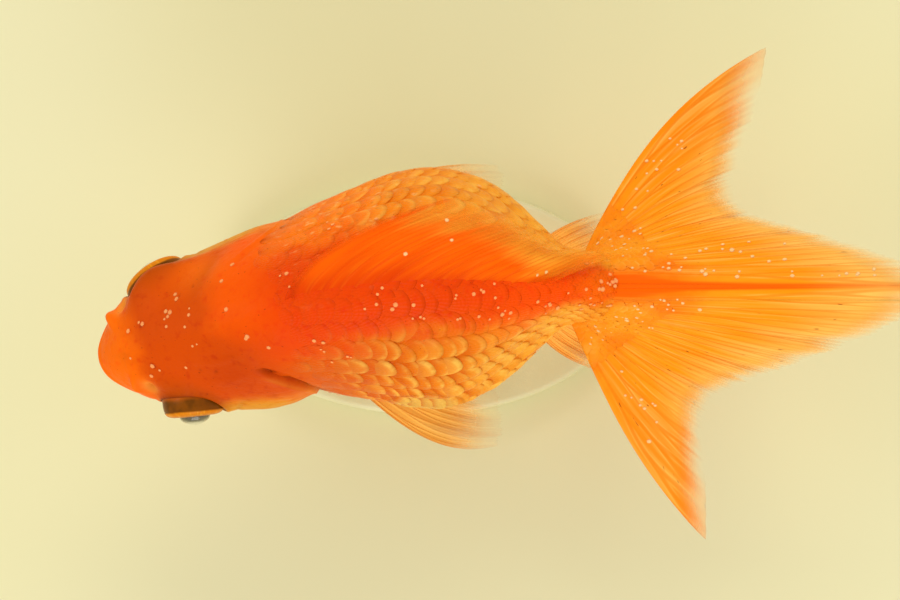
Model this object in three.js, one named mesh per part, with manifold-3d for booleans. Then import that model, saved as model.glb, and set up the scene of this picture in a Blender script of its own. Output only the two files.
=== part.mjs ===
// A fancy twin-tailed goldfish as a still, life-size model, held over a small display stand.
// Millimetres, +Z up. The fish faces -X, its right side is +Y, and the origin is the centre of the
// stand's underside. The fish is shaped along a straight axis, and bend() gives the last pose.
import * as THREE from "three";
import { LoftGeometry } from "three/addons/geometries/LoftGeometry.js";
import { mergeVertices } from "three/addons/utils/BufferGeometryUtils.js";
import Module from "manifold-3d";

const wasm = await Module();
wasm.setup();

// ---------------------------------------------------------------- driving dimensions

const GAP = 0.3; // clearance between pieces that meet
const AXIS_HEIGHT = 36; // the body's axis over the stand's underside
const SNOUT_X = -38.6; // the snout's place on the straight axis
const BODY_LENGTH = 67.2; // snout to the rounded end of the tail stem
const RIGHT = 1;
const LEFT = -1;

// The pose: the axis runs straight behind BEND.from, and curves to the fish's left in front of it.
const BEND = { from: 8, offset: 1.7, amount: 0.00645, power: 1.9, tailSlope: -0.003 };

// Body profiles as [distance behind the snout, size]: the back's and belly's height over the axis,
// the half width, and the height at which the body is widest.
const BACK = [
  [0, 2.6], [4, 5.0], [8, 7.8], [12, 10.4], [17, 13.6], [24, 16.6], [32, 18.6],
  [40, 18.8], [46, 17.3], [52, 14.4], [58, 10.6], [62, 8.9], [68, 8.2],
];
const BELLY = [
  [0, -3.0], [4, -4.8], [8, -7.0], [12, -9.8], [17, -12.6], [24, -15.6], [32, -17.8],
  [40, -18.8], [46, -18.0], [50, -15.9], [54, -12.2], [58, -7.6], [62, -4.2], [68, -2.8],
];
const HALF_WIDTH = [
  [0, 5.8], [4, 6.0], [7, 7.1], [10, 8.1], [14, 9.0], [19, 9.9], [24, 10.7], [28, 11.9],
  [32, 13.0], [36, 14.2], [40, 14.7], [43, 14.3], [47, 12.7], [50, 10.6], [53, 7.7], [56, 5.0],
  [60, 4.2], [64, 3.9], [68, 3.4],
];
const WIDEST_AT = [
  [0, -0.6], [8, 0.3], [16, -0.2], [24, -1.2], [40, -3.0], [50, -3.2], [56, 0.2], [60, 2.2],
  [68, 2.6],
];
const BACK_POWER = 1.8; // superellipse powers: a narrow back over a full belly
const BELLY_POWER = 2.3;
const NOSE_LENGTH = 5; // stretch over which the snout rounds off
const STERN_LENGTH = 4.5; // and the tail stem's end
const ORBIT = { at: 9.3, height: 1.5, reach: 3.4, bulge: 0.7 }; // swelling round each eye
const PINCH = { at: 52, reach: 5, height: 6, spread: 4.5, depth: 0.2 }; // hollow over the vent
const RING_POINTS = 28;
const RING_STEP = 2.6;
const END_RINGS = [0.05, 0.4, 1.1, 2.1, 3.4]; // closer rings where the snout and stem round off
const THINNEST = 0.05; // a shrunken ring never turns inside out

const HEAD_END = 21; // head meets trunk under the gill covers
const STEM_START = 55; // trunk meets tail stem
const MOUTH = {
  start: -1, height: -0.9, slope: 1.2, drop: 8, length: 9.5, width: 30, steps: 8,
};
const EYE = { at: 9.3, side: 5.7, height: 1.5, radius: 3.9 };
const CORNEA = { side: 7.35, radius: 3.2 };
const BALL_FACES = { around: 13, down: 8 };
const GILL_COVER = {
  at: 18.6, height: -1.2, length: 6.0, depth: 8.6, inset: 0.6, inside: 3, reach: 20, arcs: 9,
};
const GILL_FLARE = { [RIGHT]: 0.5, [LEFT]: 1.5 }; // how far the rear edge stands off the flank

// Dorsal fin: rooted on the back's ridge and laid over the right flank.
const DORSAL = {
  root: { front: [-15, 1.0], rear: [15, 0.2] },
  margin: { front: [4.9, 10.2], rear: [22.8, 3.6] },
  bow: 3.6,
  bowAt: 0.2,
  thick: 1.0,
  thin: 0.6,
  sunk: 0.4,
  lift: 1.4,
  drape: 0.8,
  steps: 7,
  rays: 14,
};

// Tail fin: each half is a fan about HUB. The median ray is v = 0 and the lower lobe's leading ray
// v = 1, and the margin dips at the fork between the two lobes.
const HUB = { x: 26.4, y: 0.3 };
const TAIL = {
  median: 35.2,
  root: { x: 25.2, high: 8.0, low: -2.0, inner: 0.1, side: 4.1 },
  rise: 12,
  droop: -22,
  ripple: 0.5,
  waves: 4,
  thick: 1.5,
  thin: 0.6,
  steps: 8,
  rays: 18,
};
const FORK_BLADE = { before: 0.05, beyond: 0.1, height: 14 };
const TAIL_SIDE = {
  [RIGHT]: {
    spread: 60.5, fork: 36.4, forkLength: 16, lobe: 34.3, upper: 2.0, lower: 2.1,
    bow: 0.193, leadX: 20.8,
  },
  [LEFT]: {
    spread: 73.3, fork: 47, forkLength: 17.1, lobe: 32.8, upper: 2.0, lower: 3.7,
    bow: 0.118, leadX: 19.0,
  },
};

// Paired fins, as their front and rear ray: root, bow (a control point) and tip of each. `spread`
// is how far each side's fin opens from its root, as a share of the drawn one.
const PELVIC = {
  front: { root: [-13, 6.6, -13.5], bow: [-3, 23.0, -17.5], tip: [10.1, 20.2, -21] },
  rear: { root: [-7, 6.8, -15.4], bow: [2, 8.5, -18.6], tip: [8.0, 9.6, -20.4] },
  round: 1.6,
  spread: { [RIGHT]: 0.64, [LEFT]: 1 },
};
const PECTORAL = {
  front: { root: [-14.0, 9.5, -7.2], bow: [-10.5, 12.9, -8.2], tip: [-3.4, 13.3, -10.6] },
  rear: { root: [-12.8, 8.5, -10.9], bow: [-9.8, 10.7, -12.2], tip: [-6.8, 10.8, -13.8] },
  round: 1.2,
  spread: { [RIGHT]: 1, [LEFT]: 1 },
};
const ANAL = {
  front: { root: [12.6, 1.9, -12.6], bow: [14.6, 8.6, -13.8], tip: [23.4, 10.9, -16.2] },
  rear: { root: [17.2, 1.6, -8.4], bow: [20.4, 3.4, -12.2], tip: [24.8, 4.4, -16.8] },
  round: 1.2,
  spread: { [RIGHT]: 0.84, [LEFT]: 1 },
};
const FIN = { thick: 0.9, thin: 0.6, ripple: 0.4, waves: 2, steps: 6, rays: 7 };

const STAND = { length: 52, width: 30, height: 4, bevel: 0.8, socket: 1, arcs: 10 };
const ROD = { radius: 1.5, seats: { front: -9, rear: 9 }, top: 22, faces: 20 };
const BEYOND = 60; // size of a cutting block that reaches past whatever it cuts

const ORANGE = { color: 0xf06a10, roughness: 0.45, metalness: 0.0 };
const DEEP_ORANGE = { color: 0xe04a04, roughness: 0.45, metalness: 0.0 };
const FIN_ORANGE = { color: 0xfb9a20, roughness: 0.5, metalness: 0.0 };
const PALE_FIN = { color: 0xf2b45c, roughness: 0.5, metalness: 0.0 };
const EYE_DARK = { color: 0x4a2a10, roughness: 0.15, metalness: 0.0 };
const STAND_CREAM = { color: 0xe6dfc0, roughness: 0.5, metalness: 0.0 };

// ---------------------------------------------------------------- curves and solids

const lerp = THREE.MathUtils.lerp;
const degrees = THREE.MathUtils.degToRad;
const bell = (distance, reach) => Math.exp(-((distance / reach) ** 2));

// Smooth value at a place between keys [place, value].
function profile(keys, place) {
  const last = keys.length - 1;
  if (place <= keys[0][0]) return keys[0][1];
  if (place >= keys[last][0]) return keys[last][1];
  const i = keys.findIndex((key) => key[0] > place) - 1;
  const slopeAt = (j) => {
    const before = keys[Math.max(j - 1, 0)];
    const after = keys[Math.min(j + 1, last)];
    return (after[1] - before[1]) / (after[0] - before[0]);
  };
  const span = keys[i + 1][0] - keys[i][0];
  const t = (place - keys[i][0]) / span;
  const ease = t * t * (3 - 2 * t);
  const start = t * (1 - t) ** 2 * span * slopeAt(i);
  const end = t * t * (t - 1) * span * slopeAt(i + 1);
  return lerp(keys[i][1], keys[i + 1][1], ease) + start + end;
}

// Axis offset and slope of the pose at a place along X.
function axisAt(x) {
  if (x >= BEND.from) return [BEND.offset + BEND.tailSlope * (x - BEND.from), BEND.tailSlope];
  const reach = BEND.from - x;
  const offset = BEND.offset - BEND.amount * reach ** BEND.power;
  return [offset, BEND.amount * BEND.power * reach ** (BEND.power - 1)];
}

// Moves a point of the straight fish into the pose.
function bend(p) {
  const [offset, slope] = axisAt(p.x);
  const angle = Math.atan(slope);
  return p.set(
    p.x - p.y * Math.sin(angle),
    offset + p.y * Math.cos(angle),
    p.z + AXIS_HEIGHT,
  );
}

// A closed geometry as a solid for joining and cutting.
function solid(geometry) {
  const bare = geometry.index ? geometry.toNonIndexed() : geometry.clone();
  bare.deleteAttribute("normal");
  bare.deleteAttribute("uv");
  const merged = mergeVertices(bare, 1e-4);
  const vertProperties = new Float32Array(merged.attributes.position.array);
  const triVerts = new Uint32Array(merged.index.array);
  return new wasm.Manifold(new wasm.Mesh({ numProp: 3, vertProperties, triVerts }));
}

// The solid as a geometry, with each vertex moved by place().
function geometryOf(body, place) {
  const mesh = body.getMesh();
  const geometry = new THREE.BufferGeometry();
  geometry.setAttribute("position", new THREE.BufferAttribute(mesh.vertProperties, 3));
  geometry.setIndex(new THREE.BufferAttribute(mesh.triVerts, 1));
  const point = new THREE.Vector3();
  const position = geometry.attributes.position;
  for (let i = 0; i < position.count; i++) {
    place(point.fromBufferAttribute(position, i));
    position.setXYZ(i, point.x, point.y, point.z);
  }
  geometry.computeVertexNormals();
  return geometry;
}

// Closed plate on the middle surface at(u, v), with u and v from 0 to 1.
function plate(at, thickness, uSteps, vSteps) {
  const box = new THREE.BoxGeometry(1, 1, 1, uSteps, vSteps, 1);
  const position = box.attributes.position;
  const nudge = 1e-3;
  for (let i = 0; i < position.count; i++) {
    const u = position.getX(i) + 0.5;
    const v = position.getY(i) + 0.5;
    const alongU = at(u + nudge, v).sub(at(u - nudge, v));
    const alongV = at(u, v + nudge).sub(at(u, v - nudge));
    const offset = alongU.cross(alongV).setLength(position.getZ(i) * thickness(u, v));
    const p = at(u, v).add(offset);
    position.setXYZ(i, p.x, p.y, p.z);
  }
  return solid(box);
}

function box(x, y, z, width, depth, height) {
  return solid(new THREE.BoxGeometry(width, depth, height).translate(x, y, z));
}

// The pieces that a cut leaves, largest first.
function piecesOf(body) {
  return body.decompose().sort((a, b) => b.volume() - a.volume());
}

// ---------------------------------------------------------------- body

// How far the snout and the stem's end round off at a place, 0 at the tip and 1 on the body.
function roundOff(at) {
  const fromNose = Math.min(1, at / NOSE_LENGTH);
  const fromStern = Math.min(1, (BODY_LENGTH - at) / STERN_LENGTH);
  return Math.sqrt(1 - (1 - fromNose) ** 2) * Math.sqrt(1 - (1 - fromStern) ** 2);
}

// One ring of the body's skin, grown outwards by `grow`.
function bodyRing(at, grow) {
  const size = roundOff(at);
  const middle = profile(WIDEST_AT, at);
  const up = Math.max(THINNEST, (profile(BACK, at) - middle) * size + grow);
  const down = Math.max(THINNEST, (middle - profile(BELLY, at)) * size + grow);
  const across = Math.max(THINNEST, profile(HALF_WIDTH, at) * size + grow);
  const x = SNOUT_X + at + grow * ((2 * at) / BODY_LENGTH - 1);
  return Array.from({ length: RING_POINTS }, (_, i) => {
    const angle = (2 * Math.PI * i) / RING_POINTS;
    const power = Math.sin(angle) > 0 ? BACK_POWER : BELLY_POWER;
    const c = Math.sign(Math.cos(angle)) * Math.abs(Math.cos(angle)) ** (2 / power);
    const s = Math.sign(Math.sin(angle)) * Math.abs(Math.sin(angle)) ** (2 / power);
    const z = middle + s * (s > 0 ? up : down);
    const orbit = ORBIT.bulge * bell(at - ORBIT.at, ORBIT.reach) * bell(z - ORBIT.height, ORBIT.reach);
    const pinch = PINCH.depth * bell(at - PINCH.at, PINCH.reach) * bell(z - PINCH.height, PINCH.spread);
    const y = c * (across * (1 - pinch) + orbit);
    return new THREE.Vector3(x, y, z);
  });
}

// The whole body, grown outwards by growAt(distance behind the snout).
function bodySolid(growAt) {
  const places = [...END_RINGS];
  for (let at = NOSE_LENGTH; at < BODY_LENGTH - STERN_LENGTH; at += RING_STEP) places.push(at);
  for (const short of END_RINGS.toReversed()) places.push(BODY_LENGTH - short);
  const rings = places.map((at) => bodyRing(at, growAt(at)));
  return solid(new LoftGeometry(rings, { closed: true, capStart: true, capEnd: true }));
}

const body = bodySolid(() => 0);
const clearBody = bodySolid(() => GAP);

// Ball of the eye with its clear bulge, grown by `grow`.
function eyeSolid(side, grow) {
  const ball = (radius, y) => {
    const sphere = new THREE.SphereGeometry(radius + grow, BALL_FACES.around, BALL_FACES.down);
    sphere.rotateX(Math.PI / 2);
    return solid(sphere.translate(SNOUT_X + EYE.at, y, EYE.height));
  };
  return ball(EYE.radius, side * EYE.side).add(ball(CORNEA.radius, side * CORNEA.side));
}

// Oval prism through the side of the head where a gill cover lies.
function gillPrism(side, grow) {
  const oval = new THREE.Shape();
  const { at, height, length, depth, inside, reach, arcs } = GILL_COVER;
  oval.absellipse(SNOUT_X + at, height, length + grow, depth + grow, 0, 2 * Math.PI);
  const prism = new THREE.ExtrudeGeometry(oval, {
    depth: reach,
    bevelEnabled: false,
    curveSegments: arcs,
  });
  prism.rotateX(Math.PI / 2);
  return solid(prism.translate(0, side > 0 ? inside + reach - grow : grow - inside, 0));
}

// Gill cover: a curved plate let into the head, proud of the flank at its rear edge.
function gillCover(side) {
  const { at, length, inset } = GILL_COVER;
  const flareAt = (place) => {
    const back = THREE.MathUtils.clamp((place - at + length) / (2 * length), 0, 1);
    return GILL_FLARE[side] * back;
  };
  return gillPrism(side, 0).intersect(bodySolid(flareAt)).subtract(bodySolid(() => -inset));
}

function gillPocket(side) {
  return gillPrism(side, GAP).subtract(bodySolid(() => -GILL_COVER.inset - GAP));
}

// Thin curved blade that parts the lower jaw from the head.
function mouthBlade() {
  const at = (u, v) => new THREE.Vector3(
    SNOUT_X + MOUTH.start + MOUTH.length * u,
    (v - 0.5) * MOUTH.width,
    MOUTH.height - MOUTH.slope * u - MOUTH.drop * u ** 3,
  );
  return plate(at, () => GAP, MOUTH.steps, 1);
}

function bodyPieces() {
  let flesh = body;
  for (const side of [RIGHT, LEFT]) {
    flesh = flesh.subtract(eyeSolid(side, GAP)).subtract(gillPocket(side));
  }
  for (const at of [HEAD_END, STEM_START]) {
    flesh = flesh.subtract(box(SNOUT_X + at, 0, 0, GAP, BEYOND, BEYOND));
  }
  const [trunk, wholeHead, stem] = piecesOf(flesh);
  const [head, jaw] = piecesOf(wholeHead.subtract(mouthBlade()));
  return { head, lower_jaw: jaw, trunk, tail_stem: stem };
}

// ---------------------------------------------------------------- fins

// Point at u on a ray from root to tip in plan. Its control point stands `bow` to the left of the
// chord, `bowAt` of the way along it.
function bowedRay(root, tip, bow, bowAt, u) {
  const chord = tip.clone().sub(root);
  const aside = new THREE.Vector2(-chord.y, chord.x).setLength(bow);
  const control = root.clone().lerp(tip, bowAt).add(aside);
  return new THREE.QuadraticBezierCurve(root, control, tip).getPoint(u);
}

// Height of the dorsal fin laid over the back, at x and y of the straight fish.
function drapeHeight(x, y) {
  const at = x - SNOUT_X;
  const middle = profile(WIDEST_AT, at);
  const across = Math.min(1, Math.abs(DORSAL.drape * y / profile(HALF_WIDTH, at)));
  return middle + (profile(BACK, at) - middle) * Math.sqrt(1 - across ** 2);
}

function dorsalFin() {
  const between = (line, v) => new THREE.Vector2(...line.front).lerp(new THREE.Vector2(...line.rear), v);
  const at = (u, v) => {
    const bow = DORSAL.bow * (1 - v) ** 2;
    const ray = [between(DORSAL.root, v), between(DORSAL.margin, v), bow, DORSAL.bowAt];
    const { x, y } = bowedRay(...ray, u);
    return new THREE.Vector3(x, y, drapeHeight(x, y) + lerp(-DORSAL.sunk, DORSAL.lift, u));
  };
  const thickness = (u) => lerp(DORSAL.thick, DORSAL.thin, u);
  return plate(at, thickness, DORSAL.steps, DORSAL.rays).subtract(clearBody);
}

// Length of the tail from the hub, `share` of the way round from the median to the lobe's tip.
function tailLength(form, share) {
  const angle = share * form.spread;
  if (angle < form.fork) {
    return lerp(form.forkLength, TAIL.median, (1 - angle / form.fork) ** form.upper);
  }
  const past = (angle - form.fork) / (form.spread - form.fork);
  return lerp(form.forkLength, form.lobe, past ** form.lower);
}

// Point of half the tail fin: u runs out along a ray, v from the median to the leading ray.
function tailPoint(side, u, v) {
  const form = TAIL_SIDE[side];
  const share = THREE.MathUtils.clamp(v, 0, 1);
  const { x, high, low, inner, side: width } = TAIL.root;
  const root = new THREE.Vector2(
    lerp(x, form.leadX, v),
    inner + width * Math.sqrt(1 - (1 - share) ** 2),
  );
  const angle = degrees(form.spread * v);
  const reach = tailLength(form, share);
  const margin = new THREE.Vector2(HUB.x + reach * Math.cos(angle), HUB.y + reach * Math.sin(angle));
  const length = margin.distanceTo(root);
  const plan = bowedRay(root, margin, form.bow * length * share ** 1.5, 0.5, u);
  const climb = Math.tan(degrees(lerp(TAIL.rise, TAIL.droop, v))) * length * u;
  const wave = TAIL.ripple * u * u * Math.sin(2 * Math.PI * TAIL.waves * v);
  return new THREE.Vector3(plan.x, side * plan.y, lerp(high, low, v) + climb + wave);
}

// Upright blade along one ray, which parts the two lobes of half the tail.
function forkBlade(side) {
  const form = TAIL_SIDE[side];
  const { before, beyond, height } = FORK_BLADE;
  const at = (u, w) => {
    const p = tailPoint(side, lerp(-before, 1 + beyond, u), form.fork / form.spread);
    p.z += height * (w - 0.5);
    return p;
  };
  return plate(at, () => GAP, TAIL.steps, 1);
}

// The two lobes of half the tail fin.
function tailHalf(side) {
  const at = (u, v) => tailPoint(side, u, v);
  const thickness = (u) => lerp(TAIL.thick, TAIL.thin, u);
  const half = plate(at, thickness, TAIL.steps, TAIL.rays).subtract(clearBody);
  const beside = box(HUB.x, side * (BEYOND + GAP) / 2, 0, 2 * BEYOND, BEYOND, 2 * BEYOND);
  const [upper, lower] = piecesOf(half.intersect(beside).subtract(forkBlade(side)))
    .slice(0, 2)
    .sort((a, b) => b.boundingBox().max[2] - a.boundingBox().max[2]);
  return { upper, lower };
}

// A fan of rays between its front and rear ray.
function fanFin(shape, side) {
  const { front, rear } = shape;
  const spread = (ray, key) => {
    const [x, y, z] = ray[key];
    return new THREE.Vector3(x, side * lerp(ray.root[1], y, shape.spread[side]), z);
  };
  const between = (key, v) => spread(front, key).lerp(spread(rear, key), v);
  const at = (u, v) => {
    const root = between("root", v);
    const tip = between("tip", v);
    const outward = tip.clone().sub(root).setLength(shape.round * 4 * v * (1 - v));
    const ray = new THREE.QuadraticBezierCurve3(root, between("bow", v), tip.add(outward));
    const p = ray.getPoint(u);
    p.z += FIN.ripple * u * u * Math.sin(2 * Math.PI * FIN.waves * v);
    return p;
  };
  const thickness = (u) => lerp(FIN.thick, FIN.thin, u);
  return piecesOf(plate(at, thickness, FIN.steps, FIN.rays).subtract(clearBody))[0];
}

// ---------------------------------------------------------------- display stand

function rod(x, grow) {
  const bottom = STAND.socket + GAP - grow;
  const length = ROD.top - bottom;
  const radius = ROD.radius + grow;
  const [offset] = axisAt(x);
  const cylinder = new THREE.CylinderGeometry(radius, radius, length, ROD.faces);
  cylinder.rotateX(Math.PI / 2);
  return solid(cylinder.translate(x, offset, bottom + length / 2));
}

function standBase() {
  const oval = new THREE.Shape();
  const { length, width, height, bevel, arcs } = STAND;
  oval.absellipse(0, 0, length / 2 - bevel, width / 2 - bevel, 0, 2 * Math.PI);
  const slab = new THREE.ExtrudeGeometry(oval, {
    depth: height - 2 * bevel,
    bevelThickness: bevel,
    bevelSize: bevel,
    bevelSegments: 1,
    curveSegments: arcs,
  });
  let base = solid(slab.translate(0, 0, bevel));
  for (const x of Object.values(ROD.seats)) base = base.subtract(rod(x, GAP));
  return base;
}

// ---------------------------------------------------------------- the model

const goldfish = new THREE.Group();

function addNode(name, body, look, place = bend) {
  const mesh = new THREE.Mesh(geometryOf(body, place), new THREE.MeshStandardMaterial(look));
  mesh.name = name;
  goldfish.add(mesh);
}

for (const [name, flesh] of Object.entries(bodyPieces())) addNode(name, flesh, DEEP_ORANGE);
addNode("dorsal_fin", dorsalFin(), FIN_ORANGE);

for (const [side, word] of [[RIGHT, "right"], [LEFT, "left"]]) {
  addNode(`gill_cover_${word}`, gillCover(side), ORANGE);
  addNode(`eye_${word}`, eyeSolid(side, 0), EYE_DARK);
  addNode(`pectoral_fin_${word}`, fanFin(PECTORAL, side), PALE_FIN);
  addNode(`pelvic_fin_${word}`, fanFin(PELVIC, side), PALE_FIN);
  addNode(`anal_fin_${word}`, fanFin(ANAL, side), PALE_FIN);
  const { upper, lower } = tailHalf(side);
  addNode(`tail_fin_upper_${word}`, upper, FIN_ORANGE);
  addNode(`tail_fin_lower_${word}`, lower, FIN_ORANGE);
}

const posedBody = solid(geometryOf(clearBody, bend));
addNode("stand_base", standBase(), STAND_CREAM, (p) => p);
for (const [name, x] of Object.entries(ROD.seats)) {
  const [below] = piecesOf(rod(x, 0).subtract(posedBody));
  addNode(`stand_rod_${name}`, below, STAND_CREAM, (p) => p);
}

export default goldfish;
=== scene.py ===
"""Looks of a still, life-size fancy goldfish with a twin tail, held over a small display stand.

The fish is shaped along a straight axis in millimetres: x from snout to tail, y to its right side
and z up from the axis. Posture.place() bends that straight fish and gives metres in the frame.
"""

import logging
import math
from collections.abc import Callable
from dataclasses import dataclass, field
from enum import Enum

import bpy
import numpy as np
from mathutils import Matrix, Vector


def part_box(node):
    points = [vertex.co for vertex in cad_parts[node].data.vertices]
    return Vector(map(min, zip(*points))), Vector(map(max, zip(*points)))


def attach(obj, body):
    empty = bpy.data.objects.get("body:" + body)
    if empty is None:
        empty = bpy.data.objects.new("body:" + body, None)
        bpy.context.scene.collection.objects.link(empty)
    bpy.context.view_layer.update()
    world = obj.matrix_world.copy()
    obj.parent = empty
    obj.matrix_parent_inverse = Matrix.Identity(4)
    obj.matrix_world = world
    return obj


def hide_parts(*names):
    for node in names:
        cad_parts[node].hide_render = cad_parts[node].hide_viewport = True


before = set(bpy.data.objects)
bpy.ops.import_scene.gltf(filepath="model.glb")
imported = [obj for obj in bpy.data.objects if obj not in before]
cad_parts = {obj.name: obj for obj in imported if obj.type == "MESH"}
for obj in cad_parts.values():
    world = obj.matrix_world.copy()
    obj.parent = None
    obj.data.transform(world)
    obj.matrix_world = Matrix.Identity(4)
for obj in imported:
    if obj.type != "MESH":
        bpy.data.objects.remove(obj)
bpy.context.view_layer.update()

Array = np.ndarray
Colour = tuple[float, float, float]
SheetPoint = Callable[[Array, Array], Array]

MM = 0.001
GIRTH_POINTS = 721
BACK_POINTS = 101
ROUND = 2 * math.pi


class Side(Enum):
    """The fish's two sides, as the sign of y."""

    RIGHT = 1
    LEFT = -1

    @property
    def word(self) -> str:
        """The side's name in node and piece names."""
        return self.name.lower()


class Slot(Enum):
    """Material slots, whose names end the materials' names."""

    SKIN = "skin"
    SCALE = "scale"
    FIN = "fin"
    PALE_FIN = "pale_fin"
    EYE = "eye"
    CORNEA = "cornea"
    SPOT = "spot"
    STAND = "stand"


# ---- shape maths


def smooth(value: Array, low: float, high: float) -> Array:
    """Eased step from 0 at low to 1 at high, which may be below low."""
    t = np.clip((value - low) / (high - low), 0, 1)
    return t * t * (3 - 2 * t)


def bell(distance: Array, reach: float) -> Array:
    """Height of a bell curve of the given reach."""
    return np.exp(-((distance / reach) ** 2))


def unit(vectors: Array) -> Array:
    """The vectors with length 1."""
    return vectors / np.maximum(np.linalg.norm(vectors, axis=-1, keepdims=True), 1e-12)


def stacked(*parts: Array | float) -> Array:
    """The parts, all spread to one shape, as the columns of a last axis."""
    return np.stack(np.broadcast_arrays(*parts), axis=-1)


def lerp(low: Array | float, high: Array | float, share: Array | float) -> Array:
    """Value between two others."""
    return low + (high - low) * share


def bezier(root: Array, control: Array, tip: Array, u: Array) -> Array:
    """Places at u, 0 to 1, on curves from root to tip that bend towards a control point."""
    return root * (1 - u) ** 2 + control * 2 * u * (1 - u) + tip * u**2


@dataclass(frozen=True)
class Profile:
    """Smooth curve through keys of (place along the body, size)."""

    keys: tuple[tuple[float, float], ...]

    def __call__(self, place: Array) -> Array:
        """Size of the curve.

        Args:
            place: Distances behind the snout.

        Returns:
            The size at each place.
        """
        places, sizes = np.array(self.keys).T
        last = len(places) - 1
        before = np.maximum(np.arange(last + 1) - 1, 0)
        after = np.minimum(np.arange(last + 1) + 1, last)
        slopes = (sizes[after] - sizes[before]) / (places[after] - places[before])
        x = np.clip(place, places[0], places[-1])
        i = np.clip(np.searchsorted(places, x, side="right") - 1, 0, last - 1)
        span = places[i + 1] - places[i]
        t = (x - places[i]) / span
        start = t * (1 - t) ** 2 * span * slopes[i]
        end = t * t * (t - 1) * span * slopes[i + 1]
        return sizes[i] + (sizes[i + 1] - sizes[i]) * t * t * (3 - 2 * t) + start + end


@dataclass(frozen=True)
class Posture:
    """How the straight fish is bent and where it hangs in the frame."""

    axis_height: float
    bend_from: float = 8.0
    offset: float = 1.7
    amount: float = 0.00645
    power: float = 1.9
    tail_slope: float = -0.003

    def axis(self, x: Array) -> tuple[Array, Array]:
        """Offset and slope of the axis.

        Args:
            x: Places along x.

        Returns:
            The offset to the left and the slope at each place.
        """
        reach = np.maximum(self.bend_from - x, 0)
        curved = x < self.bend_from
        ahead = self.offset - self.amount * reach**self.power
        behind = self.offset + self.tail_slope * (x - self.bend_from)
        slope = self.amount * self.power * reach ** (self.power - 1)
        return np.where(curved, ahead, behind), np.where(curved, slope, self.tail_slope)

    def place(self, points: Array) -> Array:
        """Bends points of the straight fish.

        Args:
            points: Points in millimetres, one a row.

        Returns:
            Points in the frame, in metres.
        """
        x, y, z = points.T
        offset, slope = self.axis(x)
        angle = np.arctan(slope)
        bent = stacked(x - y * np.sin(angle), offset + y * np.cos(angle), z + self.axis_height)
        return bent * MM


@dataclass(frozen=True)
class BodyForm:
    """The bare body's surface, with the same profiles as the frame's solids."""

    snout_x: float
    length: float = 67.2
    nose: float = 5.0
    stern: float = 4.5
    back_power: float = 1.8
    belly_power: float = 2.3
    back: Profile = Profile((
        (0, 2.6), (4, 5.0), (8, 7.8), (12, 10.4), (17, 13.6), (24, 16.6), (32, 18.6),
        (40, 18.8), (46, 17.3), (52, 14.4), (58, 10.6), (62, 8.9), (68, 8.2),
    ))
    belly: Profile = Profile((
        (0, -3.0), (4, -4.8), (8, -7.0), (12, -9.8), (17, -12.6), (24, -15.6), (32, -17.8),
        (40, -18.8), (46, -18.0), (50, -15.9), (54, -12.2), (58, -7.6), (62, -4.2), (68, -2.8),
    ))
    half_width: Profile = Profile((
        (0, 5.8), (4, 6.0), (7, 7.1), (10, 8.1), (14, 9.0), (19, 9.9), (24, 10.7), (28, 11.9),
        (32, 13.0), (36, 14.2), (40, 14.7), (43, 14.3), (47, 12.7), (50, 10.6), (53, 7.7),
        (56, 5.0), (60, 4.2), (64, 3.9), (68, 3.4),
    ))
    widest_at: Profile = Profile((
        (0, -0.6), (8, 0.3), (16, -0.2), (24, -1.2), (40, -3.0), (50, -3.2), (56, 0.2),
        (60, 2.2), (68, 2.6),
    ))
    orbit_at: float = 9.3
    orbit_height: float = 1.5
    orbit_reach: float = 3.4
    orbit_bulge: float = 0.7
    pinch_at: float = 52.0
    pinch_reach: float = 5.0
    pinch_height: float = 6.0
    pinch_spread: float = 4.5
    pinch_depth: float = 0.2
    end_rings: int = 57
    end_turn: float = 0.028
    stern_skip: int = 3

    def surface(self, at: Array, angle: Array) -> Array:
        """Points of the body.

        Args:
            at: Distances behind the snout.
            angle: Angles round the body, 0 on the right flank and a quarter turn on the back.

        Returns:
            One point a row, in the straight fish's millimetres.
        """
        from_nose = np.clip(at / self.nose, 0, 1)
        from_stern = np.clip((self.length - at) / self.stern, 0, 1)
        size = np.sqrt(1 - (1 - from_nose) ** 2) * np.sqrt(1 - (1 - from_stern) ** 2)
        middle = self.widest_at(at)
        up = (self.back(at) - middle) * size
        down = (middle - self.belly(at)) * size
        power = 2 / np.where(np.sin(angle) > 0, self.back_power, self.belly_power)
        c = np.sign(np.cos(angle)) * np.abs(np.cos(angle)) ** power
        s = np.sign(np.sin(angle)) * np.abs(np.sin(angle)) ** power
        z = middle + s * np.where(s > 0, up, down)
        near_eye = bell(at - self.orbit_at, self.orbit_reach)
        orbit = self.orbit_bulge * near_eye * bell(z - self.orbit_height, self.orbit_reach)
        over_vent = bell(at - self.pinch_at, self.pinch_reach)
        pinch = self.pinch_depth * over_vent * bell(z - self.pinch_height, self.pinch_spread)
        y = c * (self.half_width(at) * size * (1 - pinch) + orbit)
        return stacked(self.snout_x + at, y, z)

    def rings(self, stretches: list[tuple[float, float]]) -> Array:
        """Distances behind the snout at which rings round the body lie.

        Args:
            stretches: The end and the ring spacing of each stretch between the rounded ends.

        Returns:
            The distances. They close up towards the snout and the stem's end.
        """
        near = 1 - np.cos(np.linspace(math.pi / 2, self.end_turn, self.end_rings))
        places = [self.nose * near[::-1]]
        start = self.nose
        for end, spacing in stretches:
            steps = max(1, round((end - start) / spacing))
            places.append(np.linspace(start, end, steps + 1)[1:])
            start = end
        places.append(self.length - self.stern * near[self.stern_skip :: self.stern_skip])
        return np.concatenate(places)


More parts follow.
